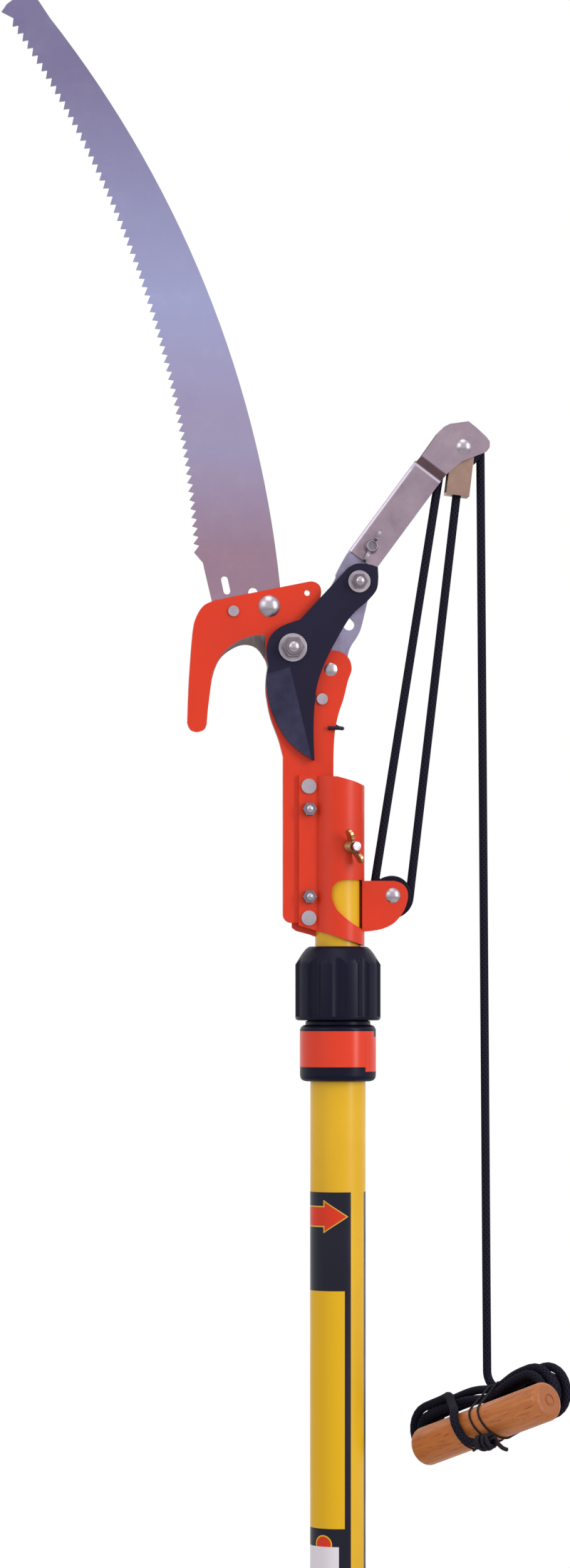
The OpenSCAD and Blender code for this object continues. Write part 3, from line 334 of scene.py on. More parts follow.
ZINC_LEVER = plated("zinc_lever", (0.335, 0.295, 0.43), (0.23, 0.20, 0.30), 0.26, 0.44)

# The arm's slope, its foot, and how far its leg, lip, jog and fold reach from there, in metres, for its
# painted highlight and shade.
ARM_TURN = math.radians(36.46)
ARM_FOOT = at(13.8, 0, 301.3)
ARM_START = -0.01
ARM_LEG = 0.0649
ARM_LIP = 0.0024
ARM_JOG = 0.0042
ARM_FOLD = 0.0075
ARM_FADE = 0.001
ARM_SOFT = 0.0006
JOG_OVER = 0.0008


def make_arm_zinc():
    """Zinc on the folded arm, with a painted highlight along its fold and at the leg's end, and painted
    shade in the jog.
    """
    f = Finish("zinc_arm", metal=1.0)
    lines = f.effect(LINES, Along=8.0, Across=500.0, Turn=-ARM_TURN)
    along, _, across = axes(f.tree, placed(f.tree, ARM_FOOT, (0, ARM_TURN - math.pi / 2, 0)))

    def reach(start, stop):
        return times(f.tree, spread(f.tree, along, start, start + ARM_SOFT),
                     spread(f.tree, along, stop - ARM_SOFT, stop, 1.0, 0.0))

    # Painted highlight: a band along the fold and another at the leg's end.
    fold = times(f.tree, reach(ARM_START, ARM_LEG - ARM_FADE),
                 spread(f.tree, across, ARM_FOLD, ARM_FOLD + ARM_FADE))
    painted_highlight = maths(f.tree, "MAXIMUM", fold, reach(ARM_LEG - ARM_LIP, ARM_LEG - ARM_SOFT))
    # Painted shade in the jog between the leg and the cheek.
    jog = reach(ARM_LEG - JOG_OVER, ARM_LEG + ARM_JOG)
    face = f.mix(lines.outputs["Blotch"], (0.37, 0.285, 0.345), (0.25, 0.187, 0.235))
    face_in_painted_shade = f.mix(times(f.tree, jog, 0.8), face, (0.12, 0.065, 0.07))
    f.base(f.mix(times(f.tree, painted_highlight, 0.75), face_in_painted_shade, (0.66, 0.60, 0.72)))
    f.rough(lines.outputs["Blotch"], 0.30, 0.48)
    f.bump(lines.outputs["Lines"], LINE_BUMP, LINE_DEPTH)
    return f


def make_nut_zinc():
    """Zinc on the nuts: plain on the end faces, with painted shade on the sides round their axis."""
    f = Finish("zinc_nuts", metal=1.0)
    lines = f.effect(LINES, Along=LINE_ALONG, Across=LINE_ACROSS, Turn=0.0)
    _, facing, _ = axes(f.tree, f.tree.nodes.new("ShaderNodeTexCoord").outputs["Normal"])
    # Painted shade: the sides, whose normals turn away from the axis, are darker than the end faces.
    front = spread(f.tree, maths(f.tree, "ABSOLUTE", facing), 0.80, 0.97)
    painted_shade_flats = f.mix(lines.outputs["Blotch"], (0.12, 0.095, 0.125), (0.06, 0.05, 0.07))
    faces = f.mix(lines.outputs["Blotch"], (0.25, 0.21, 0.25), (0.15, 0.125, 0.155))
    f.base(f.mix(front, painted_shade_flats, faces))
    f.rough(lines.outputs["Blotch"], 0.18, 0.34)
    f.bump(lines.outputs["Lines"], LINE_BUMP, LINE_DEPTH)
    return f


# Tints along the saw: heights in metres over which each one takes over, light tone and dark tone.
SAW_TINTS = ((0, 0, (0.345, 0.225, 0.295), (0.295, 0.19, 0.26)),
             (0.305, 0.365, (0.365, 0.32, 0.485), (0.315, 0.275, 0.425)),
             (0.385, 0.446, (0.37, 0.375, 0.60), (0.32, 0.325, 0.53)),
             (0.450, 0.580, (0.23, 0.205, 0.345), (0.19, 0.165, 0.295)))


def make_saw_steel():
    """Ground steel, red-violet at the heel, then blue, and a darker grey-violet at the toe."""
    f = Finish("saw_steel", metal=1.0)
    lines = f.effect(LINES, Along=14.0, Across=700.0, Turn=math.radians(20))
    _, _, height = axes(f.tree, object_place(f.tree))
    tint = None
    for low, high, light, dark in SAW_TINTS:
        stretch = f.mix(lines.outputs["Blotch"], light, dark)
        if tint:
            stretch = f.mix(spread(f.tree, height, COLLAR_Z + low, COLLAR_Z + high), tint, stretch)
        tint = stretch
    f.base(tint)
    f.rough(lines.outputs["Blotch"], 0.26, 0.40)
    f.bump(lines.outputs["Lines"], LINE_BUMP, LINE_DEPTH)
    return f


# The hook's throat in metres: its centre, its rim, and the depths between which the steel is bare.
THROAT_AT = (-0.044, COLLAR_Z + 0.227)
THROAT_RIM = (0.0311, 0.0308)
BARE_FRONT = (-0.0062, -0.00605)
BARE_BACK = (-0.0024, -0.0026)


def make_orange(name, throat):
    """Powder coat, ground bare round the throat of the hook plate."""
    f = Finish(name, Specular_IOR_Level=0.3)
    skin = f.effect(SKIN, Fine=800.0, Broad=18.0)
    paint = f.mix(skin.outputs["Cloud"], (0.68, 0.037, 0.010), (0.60, 0.031, 0.008))
    paint = f.mix(skin.outputs["Rub"], paint, (0.52, 0.045, 0.02))
    f.rough(skin.outputs["Cloud"], 0.30, 0.44)
    f.bump(skin.outputs["Peel"], 0.06, COAT_DEPTH)
    if throat:
        x, y, z = axes(f.tree, object_place(f.tree))
        far = distance(f.tree, x, z, THROAT_AT)
        bare = times(f.tree, spread(f.tree, far, *THROAT_RIM), spread(f.tree, y, *BARE_FRONT),
                     spread(f.tree, y, *BARE_BACK))
        lines = f.effect(LINES, Along=40.0, Across=LINE_ACROSS, Turn=0.6)
        steel = f.mix(lines.outputs["Blotch"], (0.20, 0.165, 0.17), (0.13, 0.105, 0.115))
        paint = f.mix(bare, paint, steel)
        f.tree.links.new(bare, f.shader.inputs["Metallic"])
    f.base(paint)
    return f


# Depths below the blade's face between which its coat gives way to ground steel.
GROUND_FROM = 0.00006
GROUND_TO = 0.00012


def make_blade_black():
    """Black coat, ground thinner and paler where the face falls away to the cutting edge."""
    f = Finish("blade_edge_black", Specular_IOR_Level=0.18)
    face = min(v.co.y for v in frame["nodes"]["cutting_blade"].data.vertices)
    _, depth, _ = axes(f.tree, object_place(f.tree))
    ground = spread(f.tree, depth, face + GROUND_FROM, face + GROUND_TO)
    skin = f.effect(SKIN, Fine=COAT_FINE, Broad=COAT_BROAD)
    lines = f.effect(LINES, Along=60.0, Across=800.0, Turn=0.9)
    coat = f.mix(skin.outputs["Cloud"], (0.007, 0.005, 0.020), (0.010, 0.008, 0.028))
    bare = f.mix(lines.outputs["Blotch"], (0.038, 0.036, 0.078), (0.017, 0.015, 0.040))
    f.base(f.mix(ground, coat, bare))
    f.rough(skin.outputs["Cloud"], 0.32, 0.50)
    f.bump(skin.outputs["Peel"], 0.06, COAT_DEPTH)
    return f


def make_braid():
    """Braided cover: crossing strands that follow the rope by its UV map."""
    f = Finish("rope_braid", rough=0.8, Specular_IOR_Level=0.08)
    round_way, along = lay(f.tree, 6, 1.6)
    one = maths(f.tree, "SINE", maths(f.tree, "ADD", round_way, along))
    two = maths(f.tree, "SINE", maths(f.tree, "SUBTRACT", round_way, along))
    level = spread(f.tree, maths(f.tree, "MAXIMUM", one, two), -0.8, 1.0)
    fuzz = noise(f.tree, object_place(f.tree), 1500.0, 3)
    strand = f.mix(fuzz, (0.009, 0.008, 0.018), (0.020, 0.018, 0.032))
    # Painted shade: darker in the hollows between the crossing strands.
    f.base(f.mix(level, (0.003, 0.003, 0.006), strand))
    f.rough(fuzz, 0.7, 0.95)
    f.bump(level, 0.5, 0.0005)
    return f


def make_string():
    """Laid string: strands that wind one way."""
    f = Finish("waxed_string", rough=0.7, Specular_IOR_Level=0.15)
    round_way, along = lay(f.tree, 3, 0.7)
    level = spread(f.tree, maths(f.tree, "SINE", maths(f.tree, "ADD", round_way, along)), -1.0, 1.0)
    # Painted shade: darker in the grooves between the strands.
    f.base(f.mix(level, (0.006, 0.005, 0.009), (0.022, 0.018, 0.026)))
    f.rough(level, 0.55, 0.8)
    f.bump(level, 0.4, 0.0003)
    return f


ZINC_ARM = make_arm_zinc()
ZINC_NUT = make_nut_zinc()
SAW_STEEL = make_saw_steel()
BLADE_BLACK = make_blade_black()
ORANGE = make_orange("orange_coat", False)
ORANGE_PLATE = make_orange("orange_plate", True)
ROPE = make_braid()
STRING = make_string()

# Places of the mechanism, in millimetres as X and height above the collar's lower edge.
HIGH_AXLE = (72.6, 367.1)
LOW_AXLE = (31.1, 107.3)
LEVER_PIN = (-4.9, 237.7)
ROPE_D = 5.0
PITCH = 10.7


def sweep(name, points, radius, finish, sides=12, closed=False):
    """One unbroken tube along points, with a UV map that runs round it and along it in diameters."""
    pts = [Vector(p) for p in points]
    n = len(pts)
    if closed:
        ways = [(pts[(i + 1) % n] - pts[i - 1]).normalized() for i in range(n)]
    else:
        ways = [(pts[min(i + 1, n - 1)] - pts[max(i - 1, 0)]).normalized() for i in range(n)]
    side = ways[0].orthogonal().normalized()
    verts, lengths, run = [], [], 0.0
    for i in range(n):
        side = (side - side.dot(ways[i]) * ways[i]).normalized()
        other = ways[i].cross(side)
        run += (pts[i] - pts[i - 1]).length if i else 0.0
        lengths.append(run / (2 * radius))
        for k in range(sides):
            a = math.tau * k / sides
            verts.append(pts[i] + radius * (math.cos(a) * side + math.sin(a) * other))
    faces, uvs = [], []
    for i in range(n if closed else n - 1):
        j = (i + 1) % n
        v1 = lengths[j] if j else lengths[i] + 0.5
        for k in range(sides):
            m = (k + 1) % sides
            faces.append((i * sides + k, i * sides + m, j * sides + m, j * sides + k))
            u0, u1 = k / sides, (k + 1) / sides
            uvs += [(u0, lengths[i]), (u1, lengths[i]), (u1, v1), (u0, v1)]
    if not closed:
        for ring, order in ((0, range(sides - 1, -1, -1)), (n - 1, range(sides))):
            faces.append(tuple(ring * sides + k for k in order))
            uvs += [(k / sides, lengths[ring]) for k in order]
    mesh = bpy.data.meshes.new(name)
    mesh.from_pydata(verts, [], faces)
    layer = mesh.uv_layers.new(name=LAY_MAP)
    for loop, uv in zip(layer.data, uvs):
        loop.uv = uv
    mesh.materials.append(finish.mat)
    for poly in mesh.polygons:
        poly.use_smooth = True
    piece = bpy.data.objects.new(name, mesh)
    bpy.context.scene.collection.objects.link(piece)
    return piece


def smooth_line(keys, steps):
    """A smooth line through the key points."""
    keys = [Vector(k) for k in keys]
    line = []
    for i in range(len(keys) - 1):
        a, b = keys[max(i - 1, 0)], keys[i]
        c, d = keys[i + 1], keys[min(i + 2, len(keys) - 1)]
        for k in range(steps):
            t = k / steps
            line.append(0.5 * (2 * b + (c - a) * t + (2 * a - 5 * b + 4 * c - d) * t * t
                               + (3 * b - a - 3 * c + d) * t ** 3))
    return line + [keys[-1]]


def between(a, b, steps):
    """A straight line in equal steps."""
    return [a + (b - a) * (k / steps) for k in range(steps + 1)]


def on_wheel(centre, turn):
    """The rope's middle on a wheel, at an angle in degrees."""
    a = math.radians(turn)
    return at(centre[0] + PITCH * math.cos(a), 0, centre[1] + PITCH * math.sin(a))


def arc(centre, start, end, steps):
    """The rope round a wheel, from one angle to another."""
    return [on_wheel(centre, start + (end - start) * k / steps) for k in range(steps + 1)]


def rope_piece(name, points, body, nodes):
    return finished(sweep(name, points, ROPE_D / 2 * MM, ROPE), body, nodes)


# The tackle: from the becket round the lower wheel to the upper one.
BECKET_TURN = math.radians(6.8)
BECKET_REACH = 27.4
WRAP_MORE = 47
run_x, run_z = LOW_AXLE[0] - HIGH_AXLE[0], LOW_AXLE[1] - HIGH_AXLE[1]
run_len = math.hypot(run_x, run_z)
RUN = Vector((run_x / run_len, 0, run_z / run_len))
LEFT = (RUN.z, -RUN.x)
LEFT_TURN = math.degrees(math.atan2(LEFT[1], LEFT[0]))
hole = (HIGH_AXLE[0] - BECKET_REACH * math.sin(BECKET_TURN),
        HIGH_AXLE[1] - BECKET_REACH * math.cos(BECKET_TURN))
hole_x, hole_z = hole[0] - LOW_AXLE[0], hole[1] - LOW_AXLE[1]
FAR_TURN = (math.degrees(math.atan2(hole_z, hole_x))
            - math.degrees(math.acos(PITCH / math.hypot(hole_x, hole_z))))
low_right = on_wheel(LOW_AXLE, FAR_TURN)
low_left = at(LOW_AXLE[0] + PITCH * LEFT[0], 0, LOW_AXLE[1] + PITCH * LEFT[1])
up_left = at(HIGH_AXLE[0] + PITCH * LEFT[0], 0, HIGH_AXLE[1] + PITCH * LEFT[1])
rope_eye = at(hole[0], 0, hole[1])

becket_run = rope_piece("tackle_rope_right", between(rope_eye, low_right, 60), "becket_strap",
                        ["rope_becket_run"])
lead_run = rope_piece("tackle_rope_left", between(low_left, up_left, 64), "becket_strap", ["rope_lead_run"])
lower_wrap = arc(LOW_AXLE, FAR_TURN, LEFT_TURN - 360 - WRAP_MORE, 40)
rope_piece("rope_round_lower_wheel", lower_wrap, "head", ["rope_lower_wrap"])

# Handle frame: X along the handle, Y behind it, Z up.
HANDLE_AT = Vector((81.6, -30, -196.5))
HANDLE_TILT = 18.8
HANDLE_TURN = Euler((0, math.radians(-HANDLE_TILT), math.radians(-51.7)), "XYZ")
HANDLE_AXES = HANDLE_TURN.to_matrix()
HANDLE_R = 11.3


def by_handle(x, y, z):
    """A point of the handle's frame, in metres."""
    p = HANDLE_AT + HANDLE_AXES @ Vector((x, y, z))
    return at(p.x, p.y, p.z)


# The hank: loops in four layers, drawn in where the string ties them.
HANK_AT = Vector((-15, 22.7, 10.5))
HANK_STEP = ROPE_D + 0.6
HANK_LAYER = ROPE_D + 0.6
HANK_RUN = 82.0
HANK_SMALL = 7.0
HANK_MEAN = 13
HANK_SHIFT = 0.17
LAYER_ENDS = (1.18, 2.68, 4.18)
LAYER_WAY = 0.3
WAIST_IN = 4.2
WAIST_X = 10
WAIST_WIDE = 14
RUN_SHARE = HANK_RUN / (2 * HANK_RUN + 2 * math.pi * HANK_MEAN)
FOLD_SHARE = 0.5 - RUN_SHARE


def loop_at(way, wide):
    """X and Z on one loop: right fold, lower run, left fold, upper run."""
    half = HANK_RUN / 2
    if way < FOLD_SHARE:
        a = math.pi * way / FOLD_SHARE
        return half + wide * math.sin(a), wide * math.cos(a)
    if way < 0.5:
        return half - HANK_RUN * (way - FOLD_SHARE) / RUN_SHARE, -wide
    if way < 0.5 + FOLD_SHARE:
        a = math.pi * (way - 0.5) / FOLD_SHARE
        return -half - wide * math.sin(a), -wide * math.cos(a)
    return -half + HANK_RUN * (way - 0.5 - FOLD_SHARE) / RUN_SHARE, wide


def eased(t):
    """A soft step from 0 to 1."""
    t = min(max(t, 0.0), 1.0)
    return t * t * (3 - 2 * t)


def hank_at(s):
    """The rope's middle after s loops: widths go in and out over three loops, layers come forward."""
    m = (s + HANK_SHIFT) % 3
    x, z = loop_at(s % 1, HANK_SMALL + HANK_STEP * abs(1.5 - m))
    level = sum(eased((s - k) / LAYER_WAY) for k in LAYER_ENDS)
    sink = WAIST_IN * math.exp(-((x - WAIST_X) / WAIST_WIDE) ** 2)
    z -= math.copysign(sink, z) if z else 0.0
    return HANK_AT + Vector((x, (1.5 - level) * HANK_LAYER, z))


HANK_FROM, HANK_TO, HANK_RINGS = -0.1375, 5.72, 420
hank = [hank_at(HANK_FROM + (HANK_TO - HANK_FROM) * k / HANK_RINGS) for k in range(HANK_RINGS + 1)]
LEAD_R = 10
LEAD_STEPS = 14
lead_in = []
for k in range(LEAD_STEPS):
    a = math.radians(180 - HANDLE_TILT + (90 + HANDLE_TILT) * k / LEAD_STEPS)
    lead_in.append(hank[0] + LEAD_R * Vector((math.cos(a), 0, 1 + math.sin(a))))
fall_top = at(HIGH_AXLE[0] + PITCH, 0, HIGH_AXLE[1])
fall = between(fall_top, by_handle(*lead_in[0]), 110)[1:-1]
TAIL_OUT = ((4.4, -0.4, 0.3), (8.6, -2.5, 0.1), (13.4, -6.3, -1.8), (18.2, -11.3, -5.8))
TAIL_OVER = ((-18.3, -3, 15), (-13.9, -8, 12), (-11.4, -12, 8), (-9.4, -14.2, 3), (-7, -14.2, -4),
             (-3, -14.2, -8.2), (2.9, -13.6, -11), (9.6, -13.4, -12.3), (13.4, -13.2, -12.8))
tail_keys = [hank[-1]] + [hank[-1] + Vector(p) for p in TAIL_OUT] + [Vector(p) for p in TAIL_OVER]
tail = smooth_line(tail_keys, 5)[1:]
rope_line = arc(HIGH_AXLE, LEFT_TURN, 0, 30) + fall
rope_line += [by_handle(*p) for p in lead_in + hank + tail]
pull_rope = rope_piece("pull_rope", rope_line, "pull_line",
                       ["rope_upper_wrap", "rope_fall", "rope_hank", "rope_tail"])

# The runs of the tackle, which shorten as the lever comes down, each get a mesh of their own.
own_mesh(becket_run)
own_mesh(lead_run)


# The tucked end in the becket: turns that close in towards the top.
def becket_point(x, y, z):
    """A point of the becket's frame, from its rope hole."""
    c, s = math.cos(BECKET_TURN), math.sin(BECKET_TURN)
    return at(hole[0] + x * c + z * s, y, hole[1] - x * s + z * c)


TUCK_STEPS = 48
TUCK_TURN = 20
TUCK_WIDE = 2.1
TUCK_CLOSE = 0.6
TUCK_CLOSE_FROM = 30
TUCK_LOW = 2.6
TUCK_RISE = 4.2
TUCK_R = 2.0
tuck_line = [becket_point(0, 0, -0.4), becket_point(0.3, 0, 1.2)]
for k in range(TUCK_STEPS + 1):
    turn = math.tau * k / TUCK_TURN
    wide = TUCK_WIDE - TUCK_CLOSE * max(k - TUCK_CLOSE_FROM, 0) / (TUCK_STEPS - TUCK_CLOSE_FROM)
    tuck_line.append(becket_point(wide * math.cos(turn), wide * math.sin(turn),
                                  TUCK_LOW + TUCK_RISE * k / TUCK_STEPS))
tuck_line.append(becket_point(0.2, 0.4, 8.0))
finished(sweep("becket_end_knot", tuck_line, TUCK_R * MM, ROPE), "becket_strap", ["becket_knot"])


def string_piece(name, local, radius, nodes=(), closed=False):
    piece = sweep(name, [by_handle(*p) for p in local], radius * MM, STRING, 8, closed)
    return finished(piece, "pull_line", nodes)


# The lashing at the rope's other end: five uneven turns, a long end and four short ones.
LASH_AT = Vector((9.6, -13.4, -12.2))
LASH_STEPS = 100
LASH_TURN = 20
LASH_LONG = 10.4
LASH_WIDE = 3.5
LASH_TALLER = 0.3
LASH_SHIFT = 0.6
LASH_UNEVEN = 0.5
LASH_BEAT = 0.37
LASH_SWAY = 0.8
LASH_R = 1.25
LASH_END = ((7.4, 1.2, -2.2), (10.5, -0.6, -4.6), (13.4, -1.6, -7.0), (16.4, -2.0, -8.6))
SHORT_ENDS = ((-9.4, -2.0, 1.4), (-8.6, -2.6, -2.6), (8.8, -2.4, 3.0), (9.6, -1.6, 0.6))
SHORT_END_R = 0.8
lash = []
for k in range(LASH_STEPS + 1):
    turn = math.tau * k / LASH_TURN + LASH_SHIFT
    wide = LASH_WIDE + LASH_UNEVEN * math.sin(k * LASH_BEAT)
    along = LASH_LONG * (k / LASH_STEPS - 0.5) + LASH_SWAY * math.sin(turn * 0.5)
    lash.append(LASH_AT + Vector((along, wide * math.cos(turn), (wide + LASH_TALLER) * math.sin(turn))))
lash += [LASH_AT + Vector(p) for p in LASH_END]
knot = string_piece("end_lashing", smooth_line(lash, 2), LASH_R, ["rope_knot"])
for i, way in enumerate(SHORT_ENDS):
    start = LASH_AT + Vector((math.copysign(4.0, way[0]), -2.4, way[2] * 0.5))
    stop = LASH_AT + Vector(way)
    string_piece("string_end_%d" % (i + 1), between(start, stop, 6), SHORT_END_R)

# Two turns of string pulled tight round handle and hank, and a third strand over the handle's front.
TIE_PLACES = (1.6, 8.6)
TIE_SLOPE = 0.42
TIE_R = 0.6
TIE_BITE = 0.7
TIE_STEP = 1.2
TIE_SIDES = 48
THIRD_R = 0.5
THIRD = ((-15.6, -3, 11.5), (-14.6, -8, 8.8), (-13.2, -11.3, 3.6), (-12.4, -11.7, -2.2), (-11.6, -8.6, -8.2),
         (-10.8, -2.6, -11.6), (-10, 3, -11.5))


def wrapped(points):
    """The taut outline round a set of flat points, counter-clockwise."""
    def half(rows):
        chain = []
        for y, z in rows:
            while len(chain) > 1 and ((chain[-1][0] - chain[-2][0]) * (z - chain[-2][1])
                                      - (chain[-1][1] - chain[-2][1]) * (y - chain[-2][0])) <= 0:
                chain.pop()
            chain.append((y, z))
        return chain[:-1]

    rows = sorted(points)
    return half(rows) + half(rows[::-1])


def circle(y, z, radius):
    """Flat points round a strand."""
    turns = [math.tau * k / TIE_SIDES for k in range(TIE_SIDES)]
    return [(y + radius * math.cos(a), z + radius * math.sin(a)) for a in turns]


def tie_ring(x0):
    """String in the sloped plane that cuts the handle's axis at x0, round every strand it meets."""
    points = circle(0, 0, HANDLE_R + TIE_R)
    for a, b in zip(hank, hank[1:]):
        off_a, off_b = (p.x + TIE_SLOPE * p.z - x0 for p in (a, b))
        if off_a * off_b <= 0 and off_a != off_b:
            cut = a.lerp(b, off_a / (off_a - off_b))
            points += circle(cut.y, cut.z, ROPE_D / 2 + TIE_R - TIE_BITE)
    outline = wrapped(points)
    ring = []
    for a, b in zip(outline, outline[1:] + outline[:1]):
        steps = max(1, round(math.dist(a, b) / TIE_STEP))
        for k in range(steps):
            y, z = (i + (j - i) * k / steps for i, j in zip(a, b))
            ring.append(Vector((x0 - TIE_SLOPE * z, y, z)))
    return ring


for i, x0 in enumerate(TIE_PLACES):
    nodes = ["hank_ties"] if i == 0 else ()
    string_piece("hank_tie_%d" % (i + 1), tie_ring(x0), TIE_R, nodes, closed=True)
string_piece("hank_tie_3", smooth_line(THIRD, 5), THIRD_R)

# Return spring: the coil and its hooked leg stay with the plate, the short leg goes with the lever.
WIRE_R = 1.1
WIRE_SIDES = 14
COIL_R = 4.9
COIL_PITCH = 2.75
COIL_BACK = 3.7
COIL_FROM = 250
COIL_TURN = 1125
COIL_STEPS = 113
HOOK_LEG = [(-6.7, -7.75, 203.8), (-3.5, -7.75, 203.8), (-0.6, -7.75, 203.8), (1.3, -6.85, 203.8),
            (2.1, -4.9, 203.8), (2.1, -2.9, 203.9), (1.3, -0.7, 204.2), (-1.4, 0.4, 205.6), (-4.6, 3.0, 210),
            (-7.4, 3.6, 218), (-9, 3.65, 227)]
EYE_LEG = [(-8.6, 12.394, 246), (-7.4, 12.294, 251.6), (-6.6, 11.194, 255.8), (-6.1, 9.694, 257.3),
           (-6.0, 7.694, 257.6), (-6.0, 1.6, 257.6), (-6.0, -0.6, 257.6)]
coil = []
for k in range(COIL_STEPS + 1):
    turn = math.radians(COIL_FROM + COIL_TURN * k / COIL_STEPS)
    coil.append((LEVER_PIN[0] + COIL_R * math.sin(turn),
                 COIL_BACK + COIL_PITCH * (COIL_TURN / 360) * k / COIL_STEPS,
                 LEVER_PIN[1] + COIL_R * math.cos(turn)))
wound = smooth_line([at(*p) for p in HOOK_LEG + coil[:1]], 6)[:-1] + [at(*p) for p in coil]
leg = smooth_line([at(*p) for p in coil[-1:] + EYE_LEG], 6)
finished(sweep("spring_coil", wound, WIRE_R * MM, STEEL_BLACK, WIRE_SIDES), "head",
         ["return_spring"])
finished(sweep("spring_leg", leg, WIRE_R * MM, STEEL_BLACK, WIRE_SIDES), "lever")

# Plates, nuts, wheels and mouldings: copies of the CAD meshes with their edges broken.
MERGE_FAR = 1e-6
SLIVER = 1e-5
FLAT_ANGLE = math.radians(0.6)
EDGE_ANGLE = math.radians(35)
EDGE_SEGMENTS = 2
SMOOTH_ANGLE = math.radians(34)
STRAY_SHARE = 1.5


def deselect_points():
    """No vertex of the active mesh selected, back in object mode."""
    bpy.ops.object.mode_set(mode="EDIT")
    bpy.ops.mesh.select_mode(type="VERT")
    bpy.ops.mesh.select_all(action="DESELECT")
    bpy.ops.object.mode_set(mode="OBJECT")


def select_stray(piece, source, limit):
    """Select the corners of a broken edge that came out away from the solid."""
    deselect_points()
    for v in piece.data.vertices:
        v.select = (source.closest_point_on_mesh(v.co)[1] - v.co).length > limit


def softened(node, finish, width):
    """A copy of a solid's mesh with its edges broken by a width in millimetres."""
    source = frame["nodes"][node]
    piece = source.copy()
    piece.data = source.data.copy()
    piece.name = node + "_soft"
    for key in list(piece.keys()):
        del piece[key]
    piece.parent = None
    bpy.context.scene.collection.objects.link(piece)
    piece.data.materials.clear()
    piece.data.materials.append(finish.mat)
    clear()
    piece.select_set(True)
    bpy.context.view_layer.objects.active = piece
    bpy.ops.mesh.customdata_custom_splitnormals_clear()
    bpy.ops.object.mode_set(mode="EDIT")
    bpy.ops.mesh.select_all(action="SELECT")
    bpy.ops.mesh.remove_doubles(threshold=MERGE_FAR)
    bpy.ops.mesh.dissolve_limited(angle_limit=FLAT_ANGLE)
    bpy.ops.mesh.normals_make_consistent(inside=False)
    bpy.ops.object.mode_set(mode="OBJECT")
    edge = piece.modifiers.new("edge", "BEVEL")
    edge.width = width * MM
    edge.segments = EDGE_SEGMENTS
    edge.limit_method = "ANGLE"
    edge.angle_limit = EDGE_ANGLE
    edge.use_clamp_overlap = False
    bpy.ops.object.modifier_apply(modifier="edge")
    select_stray(piece, source, STRAY_SHARE * width * MM)
    bpy.ops.object.mode_set(mode="EDIT")
    bpy.ops.mesh.dissolve_verts()
    bpy.ops.mesh.select_all(action="SELECT")
    bpy.ops.mesh.dissolve_degenerate(threshold=SLIVER)
    bpy.ops.object.mode_set(mode="OBJECT")
    bpy.ops.object.shade_smooth_by_angle(angle=SMOOTH_ANGLE)
    even = piece.modifiers.new("even", "WEIGHTED_NORMAL")
    even.keep_sharp = True
    bpy.ops.object.modifier_apply(modifier="even")
    return finished(piece, BODY_OF[node], [node])


GRAIN = (22, 420, 420)
PORES = (120, 1500, 1500)
END_FROM = 0.0495
END_TO = 0.0523


def make_wood():
    """Dowel wood in the handle's frame: grain, pores and darker end grain."""
    f = Finish("dowel_wood", Specular_IOR_Level=0.4)
    place = placed(f.tree, at(*HANDLE_AT), HANDLE_TURN)
    grain = spread(f.tree, noise(f.tree, scaled(f.tree, place, GRAIN), 1.0, 4), 0.32, 0.68)
    pores = spread(f.tree, noise(f.tree, scaled(f.tree, place, PORES), 1.0, 2), 0.56, 0.72)
    timber = f.mix(grain, (0.56, 0.185, 0.047), (0.43, 0.122, 0.027))
    timber = f.mix(pores, timber, (0.28, 0.074, 0.019))
    along, _, _ = axes(f.tree, place)
    end_grain = spread(f.tree, maths(f.tree, "ABSOLUTE", along), END_FROM, END_TO, 0.0, 0.7)
    f.base(f.mix(end_grain, timber, (0.27, 0.078, 0.022)))
    f.rough(grain, 0.34, 0.5)
    f.bump(pores, 0.12, 0.0003)
    return f


FINISHES = {"yellow": YELLOW, "black_plastic": BLACK, "orange": ORANGE, "zinc": ZINC, "brass": BRASS,
            "black_steel": STEEL_BLACK, "warm_steel": STRAP, "bright_steel": SAW_STEEL, "rope": ROPE,
            "wood": make_wood()}
SOFT_EDGES = {"head_plate": 0.15, "lever_plate": 0.3, "becket": 0.12, "collar_body": 0.5, "collar_nut": 0.15,
              "clamp_wing_nut": 0.15, "arm_wing_nut": 0.12, "saw_wing_nut": 0.12, "pivot_nut": 0.18,
              "drive_nut": 0.12, "sleeve_nuts": 0.15, "pivot_washer": 0.2, "drive_washer": 0.2,
              "saw_washer": 0.2, "lower_sheave": 0.3, "upper_sheave": 0.3}
OWN_FINISH = {"head_plate": ORANGE_PLATE, "channel_arm": ZINC_ARM, "cutting_blade": BLADE_BLACK,
              "lever_plate": ZINC_LEVER, "pivot_nut": ZINC_NUT, "drive_nut": ZINC_NUT,
              "sleeve_nuts": ZINC_NUT, "arm_bolt": ZINC_DARK, "clamp_bolt": ZINC_DARK}
hidden = {n for o in bpy.data.objects for n in o.get("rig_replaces", [])}
for node in sorted(frame["nodes"]):
    finish = OWN_FINISH.get(node, FINISHES[SLOT_OF[node]])
    if node in SOFT_EDGES:
        softened(node, finish, SOFT_EDGES[node])
    elif node not in hidden:
        mesh = frame["nodes"][node].data
        mesh.materials.clear()
        mesh.materials.append(finish.mat)

# Printed film on the collar and on the pole, without lettering.
FILM_STEPS = 240
FILM_THICK = 0.12
FILM_SMOOTH = math.radians(30)
TURN_SLACK = 1e-6


